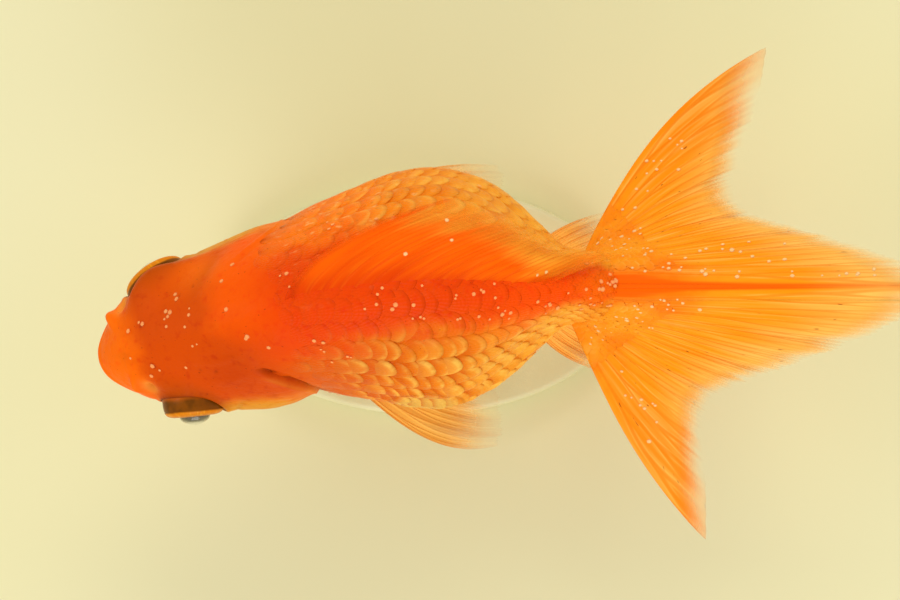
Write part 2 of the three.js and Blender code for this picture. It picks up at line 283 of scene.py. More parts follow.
class BodyWrap:
    """Lookup of the body's surface by distance behind the snout and share of the girth.

    The share runs from 0 under the belly up the right flank to 0.5 on the back's ridge, and on
    down the left flank to 1.
    """

    def __init__(self, form: BodyForm, step: float = 0.2) -> None:
        """Samples the body.

        Args:
            form: The body to wrap.
            step: Distance between sampled rings, which stand closer at both ends.
        """
        self.form = form
        self.at = form.rings([(form.length - form.stern, step)])
        angle = np.linspace(0, ROUND, GIRTH_POINTS) - math.pi / 2
        rings = form.surface(self.at[:, None], angle[None, :])
        along = np.gradient(rings, axis=0)
        around = np.gradient(rings, axis=1)
        around[:, 0] = around[:, -1] = rings[:, 1] - rings[:, -2]
        normals = unit(np.cross(around, along))
        steps = np.linalg.norm(np.diff(rings, axis=1), axis=2)
        run = np.concatenate([np.zeros((len(rings), 1)), np.cumsum(steps, axis=1)], axis=1)
        shares = np.linspace(0, 1, GIRTH_POINTS)
        found = np.concatenate([rings, normals], axis=2)
        self.table = np.empty_like(found)
        for row, values, way in zip(self.table, found, run):
            for k in range(6):
                row[:, k] = np.interp(shares, way / way[-1], values[:, k])

    def locate(self, at: Array, share: Array) -> tuple[Array, Array]:
        """Points and outward normals of the surface.

        Args:
            at: Distances behind the snout.
            share: Shares of the girth.

        Returns:
            The points and the unit normals, one a row.
        """
        row = np.interp(at, self.at, np.arange(len(self.at)))
        column = (share % 1) * (GIRTH_POINTS - 1)
        i = np.minimum(row.astype(int), len(self.at) - 2)
        j = np.minimum(column.astype(int), GIRTH_POINTS - 2)
        fi = (row - i)[..., None]
        fj = (column - j)[..., None]
        low = self.table[i, j] * (1 - fj) + self.table[i, j + 1] * fj
        high = self.table[i + 1, j] * (1 - fj) + self.table[i + 1, j + 1] * fj
        found = low * (1 - fi) + high * fi
        return found[..., :3], unit(found[..., 3:])

    def above(self, at: Array, aside: Array) -> Array:
        """Shares of the girth at which the upper surface lies a given way to the right.

        Args:
            at: Distances behind the snout.
            aside: Distances to the fish's right of its middle.

        Returns:
            The shares.
        """
        shares = np.linspace(0.25, 0.75, BACK_POINTS)
        found = []
        for place, across in zip(at, aside):
            points, _ = self.locate(np.full(BACK_POINTS, place), shares)
            found.append(np.interp(-across, -points[:, 1], shares))
        return np.array(found)


# ---- mesh pieces


@dataclass
class Draft:
    """A mesh being made: points of the straight fish, faces, and what its finish reads."""

    points: Array
    faces: Array
    marks: dict[str, Array] = field(default_factory=dict)
    patches: Array | None = None

    @staticmethod
    def joined(drafts: list["Draft"]) -> "Draft":
        """One draft of several.

        Args:
            drafts: Drafts with the same kind of faces and the same marks.

        Returns:
            The joined draft.
        """
        starts = np.cumsum([0] + [len(draft.points) for draft in drafts[:-1]])
        faces = np.concatenate([d.faces + start for d, start in zip(drafts, starts)])
        marks = {
            name: np.concatenate([draft.marks[name] for draft in drafts])
            for name in drafts[0].marks
        }
        patched = drafts[0].patches is not None
        patches = np.concatenate([draft.patches for draft in drafts]) if patched else None
        return Draft(np.concatenate([draft.points for draft in drafts]), faces, marks, patches)


def linked(name: str, data: bpy.types.ID) -> bpy.types.Object:
    """An object of the scene that holds some data."""
    made = bpy.data.objects.new(name, data)
    bpy.context.scene.collection.objects.link(made)
    return made


class Workshop:
    """Turns drafts into pieces that ride on the frame."""

    def __init__(self, posture: Posture) -> None:
        """Keeps the posture that every piece of the fish takes."""
        self.posture = posture
        self.log = logging.getLogger("goldfish")

    def piece(
        self,
        name: str,
        draft: Draft,
        finish: "Finish",
        replaces: tuple[str, ...] = (),
        posed: bool = True,
    ) -> None:
        """Makes one piece.

        Args:
            name: The piece's name.
            draft: Its mesh.
            finish: The finish that it wears.
            replaces: The frame's nodes that it stands for.
            posed: Whether the draft is a straight fish's and takes the posture. If not, its
                points are the frame's, in millimetres.
        """
        points = self.posture.place(draft.points) if posed else draft.points * MM
        mesh = bpy.data.meshes.new(name)
        mesh.from_pydata(points, [], outward(points, draft.faces), shade_flat=False)
        for mark, values in draft.marks.items():
            layer = mesh.attributes.new(mark, "FLOAT_VECTOR", "POINT")
            layer.data.foreach_set("vector", values.astype(np.float32).ravel())
        if draft.patches is not None:
            corners = np.empty(len(mesh.loops), np.int32)
            mesh.loops.foreach_get("vertex_index", corners)
            unwrap = mesh.uv_layers.new(name="OFBake")
            unwrap.data.foreach_set("uv", draft.patches[corners].astype(np.float32).ravel())
        mesh.materials.append(finish.material())
        made = linked(name, mesh)
        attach(made, "root")
        if replaces:
            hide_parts(*replaces)
        self.log.info("%s: %d points, %d faces", name, len(points), len(draft.faces))


def corners_of(node: str) -> tuple[Array, Array]:
    """Lowest and highest corner of a node of the frame, in millimetres."""
    low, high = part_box(node)
    return np.array(low) / MM, np.array(high) / MM


def grid_faces(rows: int, columns: int, closed: bool = False) -> Array:
    """Quads of a grid of points.

    Args:
        rows: Number of rows of points.
        columns: Number of points in each row.
        closed: Whether each row joins up into a ring.

    Returns:
        One quad a row, as point numbers.
    """
    i = np.arange(rows - 1)[:, None]
    j = np.arange(columns if closed else columns - 1)[None, :]
    k = (j + 1) % columns
    this = i * columns
    after = this + columns
    return stacked(this + j, after + j, after + k, this + k).reshape(-1, 4)


def outward(points: Array, faces: Array) -> Array:
    """The quads of a closed mesh, all turned over if they face inwards."""
    a, b, c, d = (points[faces[:, k]] for k in range(4))
    volume = np.sum(np.cross(a, b) * c) + np.sum(np.cross(a, c) * d)
    return faces if volume > 0 else faces[:, ::-1]


def cap_faces(first: int, columns: int) -> Array:
    """Quads across a ring of an even number of points, the first of which has the number first."""
    i = np.arange(columns // 2 - 1)
    return first + stacked(i, i + 1, columns - 2 - i, columns - 1 - i)


def tube_faces(rows: int, columns: int) -> Array:
    """Quads of a closed tube of rings, with both ends capped."""
    last = cap_faces((rows - 1) * columns, columns)[:, ::-1]
    return np.concatenate([grid_faces(rows, columns, True), cap_faces(0, columns), last])


def shell_faces(rows: int, columns: int) -> Array:
    """Quads of a closed shell: a grid of points over a second, with their edges joined.

    Args:
        rows: Rows of points in each grid.
        columns: Points in each row.

    Returns:
        One quad a row.
    """
    count = rows * columns
    over = grid_faces(rows, columns)
    grid = np.arange(count).reshape(rows, columns)
    edge = np.concatenate([grid[0, :-1], grid[:-1, -1], grid[-1, :0:-1], grid[:0:-1, 0]])
    after = np.roll(edge, -1)
    sides = stacked(edge, after, after + count, edge + count)
    return np.concatenate([over, over[:, ::-1] + count, sides])


# ---- shader maths


def paint(red: int, green: int, blue: int) -> Colour:
    """Linear colour of a paint named by its screen red, green and blue."""
    shares = np.array([red, green, blue]) / 255
    linear = np.where(shares <= 0.04045, shares / 12.92, ((shares + 0.055) / 1.055) ** 2.4)
    return tuple(float(share) for share in linear)


class Reading:
    """A value read in a node tree. Used in an expression, it adds Math nodes."""

    def __init__(self, nodes: "Nodes", socket: bpy.types.NodeSocket) -> None:
        """Wraps an output socket of the tree."""
        self.nodes = nodes
        self.socket = socket

    def math(self, operation: str, *others: "Reading | float") -> "Reading":
        """The result of a Math node on this value and the others."""
        return self.nodes.math(operation, self, *others)

    def __add__(self, other: "Reading | float") -> "Reading":
        """Sum."""
        return self.math("ADD", other)

    __radd__ = __add__

    def __sub__(self, other: "Reading | float") -> "Reading":
        """Difference."""
        return self.math("SUBTRACT", other)

    def __rsub__(self, other: float) -> "Reading":
        """Difference from a number."""
        return self.nodes.math("SUBTRACT", other, self)

    def __mul__(self, other: "Reading | float") -> "Reading":
        """Product."""
        return self.math("MULTIPLY", other)

    __rmul__ = __mul__

    def __truediv__(self, other: "Reading | float") -> "Reading":
        """Quotient."""
        return self.math("DIVIDE", other)

    def __rtruediv__(self, other: float) -> "Reading":
        """Quotient of a number."""
        return self.nodes.math("DIVIDE", other, self)

    def __pow__(self, other: "Reading | float") -> "Reading":
        """Power."""
        return self.math("POWER", other)

    def __abs__(self) -> "Reading":
        """Size without sign."""
        return self.math("ABSOLUTE")

    def least(self, other: "Reading | float") -> "Reading":
        """The smaller of the two."""
        return self.math("MINIMUM", other)

    def most(self, other: "Reading | float") -> "Reading":
        """The larger of the two."""
        return self.math("MAXIMUM", other)

    def step(self, low: float, high: float) -> "Reading":
        """Eased step.

        Args:
            low: Value at which the step starts.
            high: Value at which it is whole, below low for a falling step.

        Returns:
            0 to 1.
        """
        if high < low:
            return 1 - self.step(high, low)
        node = self.nodes.add(
            "ShaderNodeMapRange",
            {"interpolation_type": "SMOOTHSTEP"},
            {"Value": self, "From Min": low, "From Max": high},
        )
        return Reading(self.nodes, node.outputs["Result"])

    def bell(self, centre: float, reach: float) -> "Reading":
        """1 at the centre, falling off on both sides with the given reach."""
        away = (self - centre) * (1 / reach)
        return 1 / (1 + (away * away) * 1.2 + (away * away) ** 2.0)


Source = Reading | bpy.types.NodeSocket | float | Colour


class Nodes:
    """The node tree of one material."""

    def __init__(self, name: str) -> None:
        """Makes an empty material.

        Args:
            name: Its name.
        """
        self.material = bpy.data.materials.new(name)
        self.material.use_nodes = True
        self.tree = self.material.node_tree
        self.tree.nodes.clear()

    def add(
        self,
        kind: str,
        settings: dict[str, object] | None = None,
        inputs: dict[str | int, Source] | None = None,
    ) -> bpy.types.Node:
        """Adds a node.

        Args:
            kind: The node's type.
            settings: Its settings, which are set first.
            inputs: Values or links of its sockets, by name or number.

        Returns:
            The node.
        """
        node = self.tree.nodes.new(kind)
        for name, value in (settings or {}).items():
            setattr(node, name, value)
        for name, value in (inputs or {}).items():
            socket = node.inputs[name]
            if isinstance(value, Reading):
                self.tree.links.new(value.socket, socket)
            elif isinstance(value, bpy.types.NodeSocket):
                self.tree.links.new(value, socket)
            elif isinstance(value, tuple) and socket.type == "RGBA":
                socket.default_value = (*value, 1.0)
            else:
                socket.default_value = value
        return node

    def math(self, operation: str, *values: Reading | float) -> Reading:
        """The result of a Math node on the values."""
        node = self.add("ShaderNodeMath", {"operation": operation}, dict(enumerate(values)))
        return Reading(self, node.outputs[0])

    def mark(self, name: str) -> tuple[Reading, Reading, Reading]:
        """The three values of one of the mesh's marks."""
        return self.parts(self.add("ShaderNodeAttribute", {"attribute_name": name}).outputs["Vector"])

    def parts(self, vector: bpy.types.NodeSocket) -> tuple[Reading, Reading, Reading]:
        """The three values of a vector."""
        x, y, z = self.add("ShaderNodeSeparateXYZ", None, {0: vector}).outputs
        return Reading(self, x), Reading(self, y), Reading(self, z)

    def join(self, x: Source, y: Source, z: Source) -> bpy.types.NodeSocket:
        """A vector of three values."""
        return self.add("ShaderNodeCombineXYZ", None, {0: x, 1: y, 2: z}).outputs[0]

    def surface(self) -> bpy.types.NodeSocket:
        """The place on the object, in metres."""
        return self.add("ShaderNodeTexCoord").outputs["Object"]

    def noise(
        self, where: bpy.types.NodeSocket, scale: float, octaves: float = 2.0
    ) -> Reading:
        """Smooth noise from 0 to 1, with so many cells in one unit of the vector where."""
        inputs = {"Vector": where, "Scale": scale, "Detail": octaves}
        return Reading(self, self.add("ShaderNodeTexNoise", None, inputs).outputs["Fac"])

    def blend(
        self, first: Source, second: Source, share: Source, mode: str = "MIX"
    ) -> bpy.types.NodeSocket:
        """Mix of two colours, with a share of the second laid over the first."""
        settings = {"data_type": "RGBA", "blend_type": mode}
        return self.add("ShaderNodeMix", settings, {0: share, 6: first, 7: second}).outputs[2]

    def bump(self, height: Reading, depth: float, under: Source | None = None) -> Source:
        """Normal of a raised pattern.

        Args:
            height: The pattern, from 0 to 1.
            depth: Its height in metres.
            under: A normal that it is laid over.

        Returns:
            The normal.
        """
        inputs: dict[str | int, Source] = {"Height": height, "Distance": depth}
        if under is not None:
            inputs["Normal"] = under
        return self.add("ShaderNodeBump", None, inputs).outputs["Normal"]

    def shine(self, **inputs: Source) -> None:
        """Ends the tree in a Principled shader.

        Args:
            **inputs: Its sockets' values or links, by name with _ for a space.
        """
        named = {name.replace("_", " "): value for name, value in inputs.items()}
        shader = self.add("ShaderNodeBsdfPrincipled", None, named)
        self.add("ShaderNodeOutputMaterial", None, {"Surface": shader.outputs["BSDF"]})


class Layers:
    """Colour of a surface, built up layer by layer."""

    def __init__(self, nodes: Nodes, ground: Source) -> None:
        """Starts with the ground's colour."""
        self.nodes = nodes
        self.colour = ground

    def lay(self, colour: Source, share: Source) -> None:
        """Lays a share of a colour over what is there."""
        self.colour = self.nodes.blend(self.colour, colour, share)


class Finish:
    """Base of the finishes. A finish makes its material once and gives it to every piece."""

    slot: Slot

    def paint_nodes(self, nodes: Nodes) -> None:
        """Fills the material's node tree.

        Args:
            nodes: The tree's builder.
        """
        raise NotImplementedError

    def material(self) -> bpy.types.Material:
        """The finish's material, made when it is first asked for.

        Returns:
            The material.
        """
        name = type(self).__name__.removesuffix("Finish").lower() + "_" + self.slot.value
        found = bpy.data.materials.get(name)
        if found is None:
            nodes = Nodes(name)
            self.paint_nodes(nodes)
            found = nodes.material
        return found


# ---- finishes


@dataclass(frozen=True)
class Markings:
    """Colours of the body by place, the same on the skin and on the scales over it.

    The mark "place" holds the distance behind the snout, the turn round the body (0 on the
    ridge, 1 under the belly on the right, -1 on the left) and the height over the axis.
    """

    ridge: Colour = paint(234, 66, 0)
    back: Colour = paint(236, 78, 0)
    stem: Colour = paint(255, 80, 0)
    stem_end: Colour = paint(255, 104, 2)
    right_front: Colour = paint(255, 118, 2)
    # The left side's colours are darker copies of the right side's: painted shade on that side.
    shaded_left_front: Colour = paint(222, 90, 0)
    flank: Colour = paint(246, 134, 8)
    # Darker copy of the flank for the left side, painted shade.
    shaded_left_flank: Colour = paint(236, 122, 4)
    rear_flank: Colour = paint(252, 168, 42)
    belly: Colour = paint(250, 206, 130)
    nape: Colour = paint(248, 88, 0)
    # Darker copy of the nape for the left side, painted shade.
    shaded_left_nape: Colour = paint(226, 74, 0)
    head: Colour = paint(216, 75, 0)
    brow: Colour = paint(248, 110, 10)
    snout: Colour = paint(252, 108, 0)
    cheek: Colour = paint(200, 63, 0)
    gold: Colour = paint(224, 146, 28)
    side: Colour = paint(238, 122, 16)
    shade: Colour = paint(150, 66, 0)
    root: Colour = paint(253, 146, 16)
    bruise: Colour = paint(224, 180, 84)
    speck: Colour = paint(120, 40, 0)
    glint: Colour = paint(255, 190, 116)
    olive: Colour = paint(176, 96, 10)

    def colour(self, nodes: Nodes) -> bpy.types.NodeSocket:
        """Adds the markings.

        Args:
            nodes: The tree that they are added to.

        Returns:
            The colour.
        """
        at, turn, height = nodes.mark("place")
        where = nodes.surface()
        cloud = nodes.noise(where, 260, 3) - 0.5
        mottle = nodes.noise(where, 900, 3) - 0.5
        fall = abs(turn) + cloud * 0.06
        right = turn.step(-0.05, 0.05)
        # The left front and flank take the darker copies, painted shade on the left side.
        body = Layers(nodes, nodes.blend(self.shaded_left_front, self.right_front, right))
        flank = nodes.blend(self.shaded_left_flank, self.flank, right)
        body.lay(flank, (at + cloud * 14 + fall * 8).step(31, 42))
        body.lay(self.rear_flank, (at + fall * 14 + cloud * 18 + mottle * 10).step(42, 58))
        body.lay(self.belly, fall.step(0.55, 0.9))
        narrow = (1 - at.step(46, 60) * 0.5) * (1 - at.step(27, 38) * (1 - right) * 0.42)
        body.lay(self.back, ((fall + cloud * 0.1) / narrow).step(0.26, 0.1))
        band = (at * -0.0030 + 0.235).most(0.05) * narrow
        body.lay(self.ridge, ((fall + cloud * 0.05) / band).step(1.5, 0.4))
        slim = (fall + cloud * 0.08) / (1 - at.step(50, 62) * 0.5)
        body.lay(self.stem, at.step(40, 56) * slim.step(0.26, 0.1))
        body.lay(self.stem_end, at.step(55, 60) * slim.step(0.5, 0.2))
        body.lay(self.root, at.step(50, 60) * slim.step(0.2, 0.5) * 0.85)
        flecks = nodes.noise(nodes.join(at * 0.8 + turn * 6, turn * 44, 0.0), 1.0, 1)
        beside = at.step(20, 26) * at.step(44, 36) * turn.bell(0.3, 0.16)
        body.lay(self.glint, flecks.step(0.62, 0.72) * beside * 0.6)
        body.lay(self.olive, flecks.step(0.38, 0.3) * beside * 0.35)
        bruise = (((at - 38.4) / 5.2) ** 2 + ((turn + 0.48) / 0.13) ** 2) ** 0.5
        body.lay(self.bruise, bruise.step(1.0, 0.7) * 0.8)
        body.lay(self.speck, bruise.bell(1.0, 0.05) * 0.3)
        skull = self._skull(nodes, at, turn, height, cloud)
        body.lay(skull, (at - fall.bell(0.5, 0.3) * 3 + cloud * 5).step(24.5, 17.0))
        deeper = nodes.blend(body.colour, body.colour, 1.0, "MULTIPLY")
        body.lay(deeper, mottle.step(0.02, 0.3) * 0.35)
        body.lay(self.brow, cloud.step(0.04, 0.3) * mottle.step(0.1, -0.2) * 0.3)
        body.lay(self.speck, nodes.noise(where, 3100, 0).step(0.81, 0.85) * 0.45)
        return body.colour

    def _skull(
        self, nodes: Nodes, at: Reading, turn: Reading, height: Reading, cloud: Reading
    ) -> bpy.types.NodeSocket:
        """Adds the head's colours.

        Args:
            nodes: The tree that they are added to.
            at: Distance behind the snout.
            turn: Turn round the body, 0 on the ridge.
            height: Height over the axis.
            cloud: Soft noise about 0.

        Returns:
            The colour.
        """
        fall = abs(turn) + cloud * 0.06
        rear = at.step(11, 15)
        top = Layers(nodes, self.head)
        hood = (turn * -1 - 0.03).most(0.0) * 42 + (turn - 0.1).most(0.0) * 10 + 14.2
        # The left nape takes the darker copy, painted shade on the left side.
        nape = nodes.blend(self.shaded_left_nape, self.nape, (turn + cloud * 0.2).step(-0.14, 0.06))
        top.lay(nape, (at - hood + cloud * 5).step(-2.0, 2.8))
        top.lay(self.brow, at.bell(14.8, 4.0) * turn.bell(0.25, 0.11) * 0.7)
        oval = (((at - 16.4) / 7.6) ** 2 + ((height + 0.6) / 7.4) ** 2) ** 0.5
        low = Layers(nodes, self.side)
        low.lay(self.gold, (oval + cloud * 0.9).step(1.05, 0.45))
        low.lay(self.belly, (height + cloud * 6).step(-4.5, -9.5))
        low.lay(self.cheek, (height + cloud * 12 - rear * 2).step(2.4, 6.4))
        top.lay(low.colour, (fall + cloud * 0.1 + rear * 0.03).step(0.33, 0.45))
        top.lay(self.cheek, at.bell(15.6, 4.0) * turn.bell(-0.2, 0.13) * 0.9)
        top.lay(self.snout, (at + cloud * 3).step(6.6, 3.2) * height.step(-4, 0))
        top.lay(self.shade, cloud.step(0.05, 0.3) * 0.22)
        reach = ((at - 9.8) ** 2 * 0.5 + (height - 3.4) ** 2) ** 0.5
        top.lay(self.shade, reach.step(3.6, 1.6) * height.step(-1.0, 2.5) * 0.5)
        return top.colour


@dataclass(frozen=True)
class SkinFinish(Finish):
    """Moist, slightly pored skin.

    The mark "carve" holds how deep a hollow is, darkened as painted shade, and how far a fold
    stands out, paled partly as a painted highlight.
    """

    slot: Slot = Slot.SKIN
    markings: Markings = Markings()
    # Painted shade laid into the hollows: the mouth, the gill slits, pits, pores, grooves and the ring
    # round each lid.
    hollow: Colour = paint(104, 38, 4)
    # Paler colour on raised folds: the lips, nostrils and vent are paler, and the line along each gill
    # cover's free edge is a painted highlight.
    fold: Colour = paint(250, 172, 66)

    def paint_nodes(self, nodes: Nodes) -> None:
        """Fills the material's node tree."""
        where = nodes.surface()
        deep, raised, _ = nodes.mark("carve")
        colour = Layers(nodes, self.markings.colour(nodes))
        # Paler folds, partly a painted highlight, and painted shade in the hollows.
        colour.lay(self.fold, raised * raised * 0.85)
        colour.lay(self.hollow, deep * 0.85)
        normal = nodes.bump(nodes.noise(where, 2600, 3), 0.00005)
        normal = nodes.bump(nodes.noise(where, 700), 0.00012, normal)
        nodes.shine(
            Base_Color=colour.colour,
            Roughness=nodes.noise(where, 900) * 0.2 + 0.32,
            Specular_IOR_Level=0.05,
            Normal=normal,
        )


@dataclass(frozen=True)
class ScaleFinish(Finish):
    """Pearly scale with a pale rear edge, partly a painted highlight, a root darkened by painted
    shade where the scale ahead overlaps it, and fine grooves that fan out towards the edge.

    The mark "scale" holds the place along and across the scale, both from -1 to 1, and a tone
    that differs from scale to scale.
    """

    slot: Slot = Slot.SCALE
    markings: Markings = Markings()
    # Pale rear edge, partly the scale's own colour and partly a painted highlight; also lightens some
    # scales at random.
    edge: Colour = paint(255, 198, 84)
    # Darker root colour, painted shade where the scale ahead overlaps; also darkens some scales at
    # random.
    root: Colour = paint(212, 88, 0)
    rim: Colour = paint(150, 46, 0)
    grain: float = 1.0

    def ground(self, nodes: Nodes) -> bpy.types.NodeSocket:
        """Colour that the scale is laid over."""
        return self.markings.colour(nodes)

    def shown(self, nodes: Nodes) -> Reading | float:
        """How clearly the scale's own pattern shows."""
        at, turn, _ = nodes.mark("place")
        side = 1 - turn.step(-0.05, 0.15) * 0.45
        return abs(turn).step(0.06, 0.24) * at.step(21, 38) * (1 - at.step(50, 60) * 0.3) * side

    def outlined(self, nodes: Nodes) -> Reading | float:
        """How clearly a dark rim outlines the scales of the back."""
        at, turn, _ = nodes.mark("place")
        return abs(turn).step(0.4, 0.2) * at.step(21, 25) * at.step(52, 42) * 0.16

    def paint_nodes(self, nodes: Nodes) -> None:
        """Fills the material's node tree."""
        along, across, tone = nodes.mark("scale")
        flecked = nodes.noise(nodes.surface(), 620, 2).step(0.38, 0.62)
        shown = self.shown(nodes)
        out = (along**2.0 + across**2.0) ** 0.5
        rear = (along + (tone - 0.5) * 0.4).step(-0.1, 0.7)
        # Pale crescent along the free rear edge, partly a painted highlight.
        pale_edge_and_highlight = out.bell(0.84, 0.22) * rear * shown * (flecked * 0.7 + 0.3)
        colour = Layers(nodes, self.ground(nodes))
        # Painted shade over the root, which the scale ahead overlaps.
        colour.lay(self.root, along.step(0.5, 0.0) * (shown * 0.6 + 0.1))
        colour.lay(self.root, (0.5 - tone).most(0.0) * shown * 0.6)
        colour.lay(self.edge, (tone - 0.6).most(0.0) * shown * 0.7)
        colour.lay(self.edge, pale_edge_and_highlight * (tone * 0.6 + 0.42))
        colour.lay(self.rim, out.bell(0.92, 0.14) * rear * self.outlined(nodes))
        angle = nodes.math("ARCTAN2", across, along + 0.9)
        grooves = nodes.math("SINE", angle * 46) * 0.5 + 0.5
        rings = nodes.math("SINE", out * 34) * 0.5 + 0.5
        normal = nodes.bump(grooves, 0.00003 * self.grain)
        normal = nodes.bump(rings, 0.00002 * self.grain, normal)
        nodes.shine(
            Base_Color=colour.colour,
            Roughness=tone * 0.12 + 0.27,
            Specular_IOR_Level=0.06,
            Normal=normal,
        )


@dataclass(frozen=True)
class TailRoot:
    """Colours of the tail's fleshy root, the same on its skin and on the scales over it."""

    gold: Colour = paint(255, 154, 20)
    deep: Colour = paint(254, 126, 2)
    flush: Colour = paint(254, 104, 0)
    pale: Colour = paint(255, 174, 56)
    crest: Colour = paint(255, 84, 0)

    def colour(self, nodes: Nodes, out: Reading, across: Reading) -> bpy.types.NodeSocket:
        """Adds the root's colours.

        Args:
            nodes: The tree that they are added to.
            out: Share of the way from root to margin.
            across: Place across the fin from its crest.

        Returns:
            The colour.
        """
        cloud = nodes.noise(nodes.surface(), 420, 3)
        made = Layers(nodes, self.gold)
        made.lay(self.deep, cloud.step(0.45, 0.65) * 0.55)
        made.lay(self.pale, cloud.step(0.42, 0.3) * 0.5)
        made.lay(self.deep, out.bell(0.2, 0.14) * across.bell(0.72, 0.14) * 0.9)
        made.lay(self.flush, out.bell(0.18, 0.12) * across.bell(0.12, 0.1) * 0.6)
        made.lay(self.flush, out.step(0.34, 0.0) * across.step(0.16, 0.0) * 0.8)
        made.lay(self.crest, self.line(out, across))
        return made.colour

    def line(self, out: Reading, across: Reading) -> Reading:
        """How much of the crest's line there is at a place out and across."""
        narrow = (1 - out * 5).most(0.0) ** 1.6 * 0.012 + (1.1 - out * 0.6) * 0.009
        return (across / narrow).step(1.5, 0.4) * (1 - out.step(0.4, 0.9) * 0.6)


@dataclass(frozen=True)
class TailScaleFinish(ScaleFinish):
    """Golden scales over the fleshy root of the tail."""

    # Colour of the painted shade at each scale's root, kept golden over the tail.
    root: Colour = paint(255, 152, 24)
    grain: float = 0.2
    tail: TailRoot = TailRoot()

    def ground(self, nodes: Nodes) -> bpy.types.NodeSocket:
        """Colour that the scale is laid over."""
        _, across, out = nodes.mark("place")
        return self.tail.colour(nodes, out, across)

    def outlined(self, nodes: Nodes) -> Reading | float:
        """How clearly a dark rim outlines the scales."""
        return 0.0

    def shown(self, nodes: Nodes) -> Reading | float:
        """How clearly the scale's own pattern shows."""
        out, across, _ = nodes.mark("place")
        return out.step(4.5, 1.0) * across.step(0.04, 0.12) * 0.3


@dataclass(frozen=True)
class FinFinish(Finish):
    """Thin membrane over branching rays, clearer towards its margin.

    The mark "ray" holds the place from root to margin, the place across the fin from its crest,
    and how near a ray is.
    """

    slot: Slot = Slot.FIN
    base: Colour = paint(226, 64, 0)
    middle: Colour = paint(254, 100, 0)
    margin: Colour = paint(255, 164, 44)
    ray: Colour = paint(255, 124, 10)
    crest: Colour = paint(250, 96, 0)
    crest_width: float = 0.14
    lead: Colour = paint(255, 140, 24)
    fleck: Colour = paint(150, 60, 6)
    flecks: float = 0.0
    middle_span: tuple[float, float] = (0.0, 0.62)
    margin_span: tuple[float, float] = (0.67, 0.96)
    rear_wear: float = 0.34
    ray_share: float = 0.22
    groove: float = 0.4
    streaks: float = 44.0
    clear_from: float = 0.74
    clearness: float = 0.9
    feather: float = 0.16
    soft_front: tuple[float, float] = (0.05, 0.9)
    soft_rear: float = 0.85
    seam: Colour = paint(236, 72, 0)

    def root(self, nodes: Nodes, out: Reading, across: Reading) -> Source:
        """Colour at the fin's root."""
        return self.base

    def line(self, out: Reading, across: Reading) -> Reading:
        """How much of the crest's colour there is at a place out and across."""
        narrow = (1.25 - out * 1.1).most(0.25) * self.crest_width
        return (across / narrow).step(1.3, 0.5) * out.step(0.05, 0.4)

    def paint_nodes(self, nodes: Nodes) -> None:
        """Fills the material's node tree."""
        out, across, ridge = nodes.mark("ray")
        _, beside, _ = nodes.parts(nodes.surface())
        side = beside.step(-0.0002, 0.0002) * 31.7 + 0.35
        streak = nodes.noise(nodes.join(out * 2.2, across * self.streaks, side), 1.0, 3)
        broad = nodes.noise(nodes.join(out * 1.5, across * self.streaks * 0.22, side + 3), 1.0)
        worn = out + (broad - 0.5) * 0.5
        aged = worn + across.step(0.4, 1.0) * self.rear_wear
        colour = Layers(nodes, self.root(nodes, out, across))
        colour.lay(self.middle, aged.step(*self.middle_span))
        colour.lay(self.margin, aged.step(*self.margin_span))
        leading = (across + (broad - 0.5) * 0.16).step(0.8, 0.93)
        colour.lay(self.lead, leading * worn.step(1.2, 0.7) * worn.step(0.2, 0.6))
        colour.lay(self.ray, streak.step(0.45, 0.75) * self.ray_share)
        seams = ridge.step(0.45, 0.95) * (broad.step(0.3, 0.6) * 0.6 + 0.4) * out.step(0.05, 0.2)
        seams = (seams + streak.step(0.42, 0.2) * 0.4).least(1.0) * (1 - out.step(0.6, 1.0) * 0.6)
        colour.lay(self.seam, seams * self.groove)
        pale = ridge.bell(0.35, 0.22) * streak.step(0.4, 0.7) * out.step(0.1, 0.3)
        colour.lay(self.ray, pale * self.ray_share * 1.4)
        colour.lay(self.crest, self.line(out, across + (streak - 0.5) * 0.002))
        if self.flecks > 0:
            marks = nodes.noise(nodes.join(out * 20, across * self.streaks * 1.6, side), 1.0, 0)
            colour.lay(self.fleck, marks.step(0.81, 0.85) * self.flecks)
        segments = nodes.math("SINE", out * 190) * 0.5 + 0.5
        normal = nodes.bump(segments * ridge, 0.00002)
        nodes.shine(
            Base_Color=colour.colour,
            Roughness=streak * 0.2 + 0.4,
            Specular_IOR_Level=0.04,
            Alpha=(1 - self._clear(out, across, streak + broad - 1) * self.clearness).least(1.0),
            Normal=nodes.bump(streak, 0.00005, normal),
        )

    def _clear(self, out: Reading, across: Reading, uneven: Reading) -> Reading:
        """How see-through the fin is.

        Args:
            out: Share of the way from root to margin.
            across: Place across the fin from its crest.
            uneven: Unevenness along the rays, about 0.

        Returns:
            0 to 1.
        """
        edge = out + uneven * self.feather + across.bell(0.74, 0.18) * 0.07
        tip = across.step(0.93, 0.98)
        clear = edge.step(self.clear_from, 1.02) * out.step(0.3, 0.6) * (1 - tip * 0.2)
        clear = clear.most(out.step(0.94, 0.99) * (1.0 - tip * 0.3))
        band, strength = self.soft_front
        clear = clear.most(across.step(band, 0.0) * strength)
        return clear.most(across.step(0.86, 1.0) * self.soft_rear)


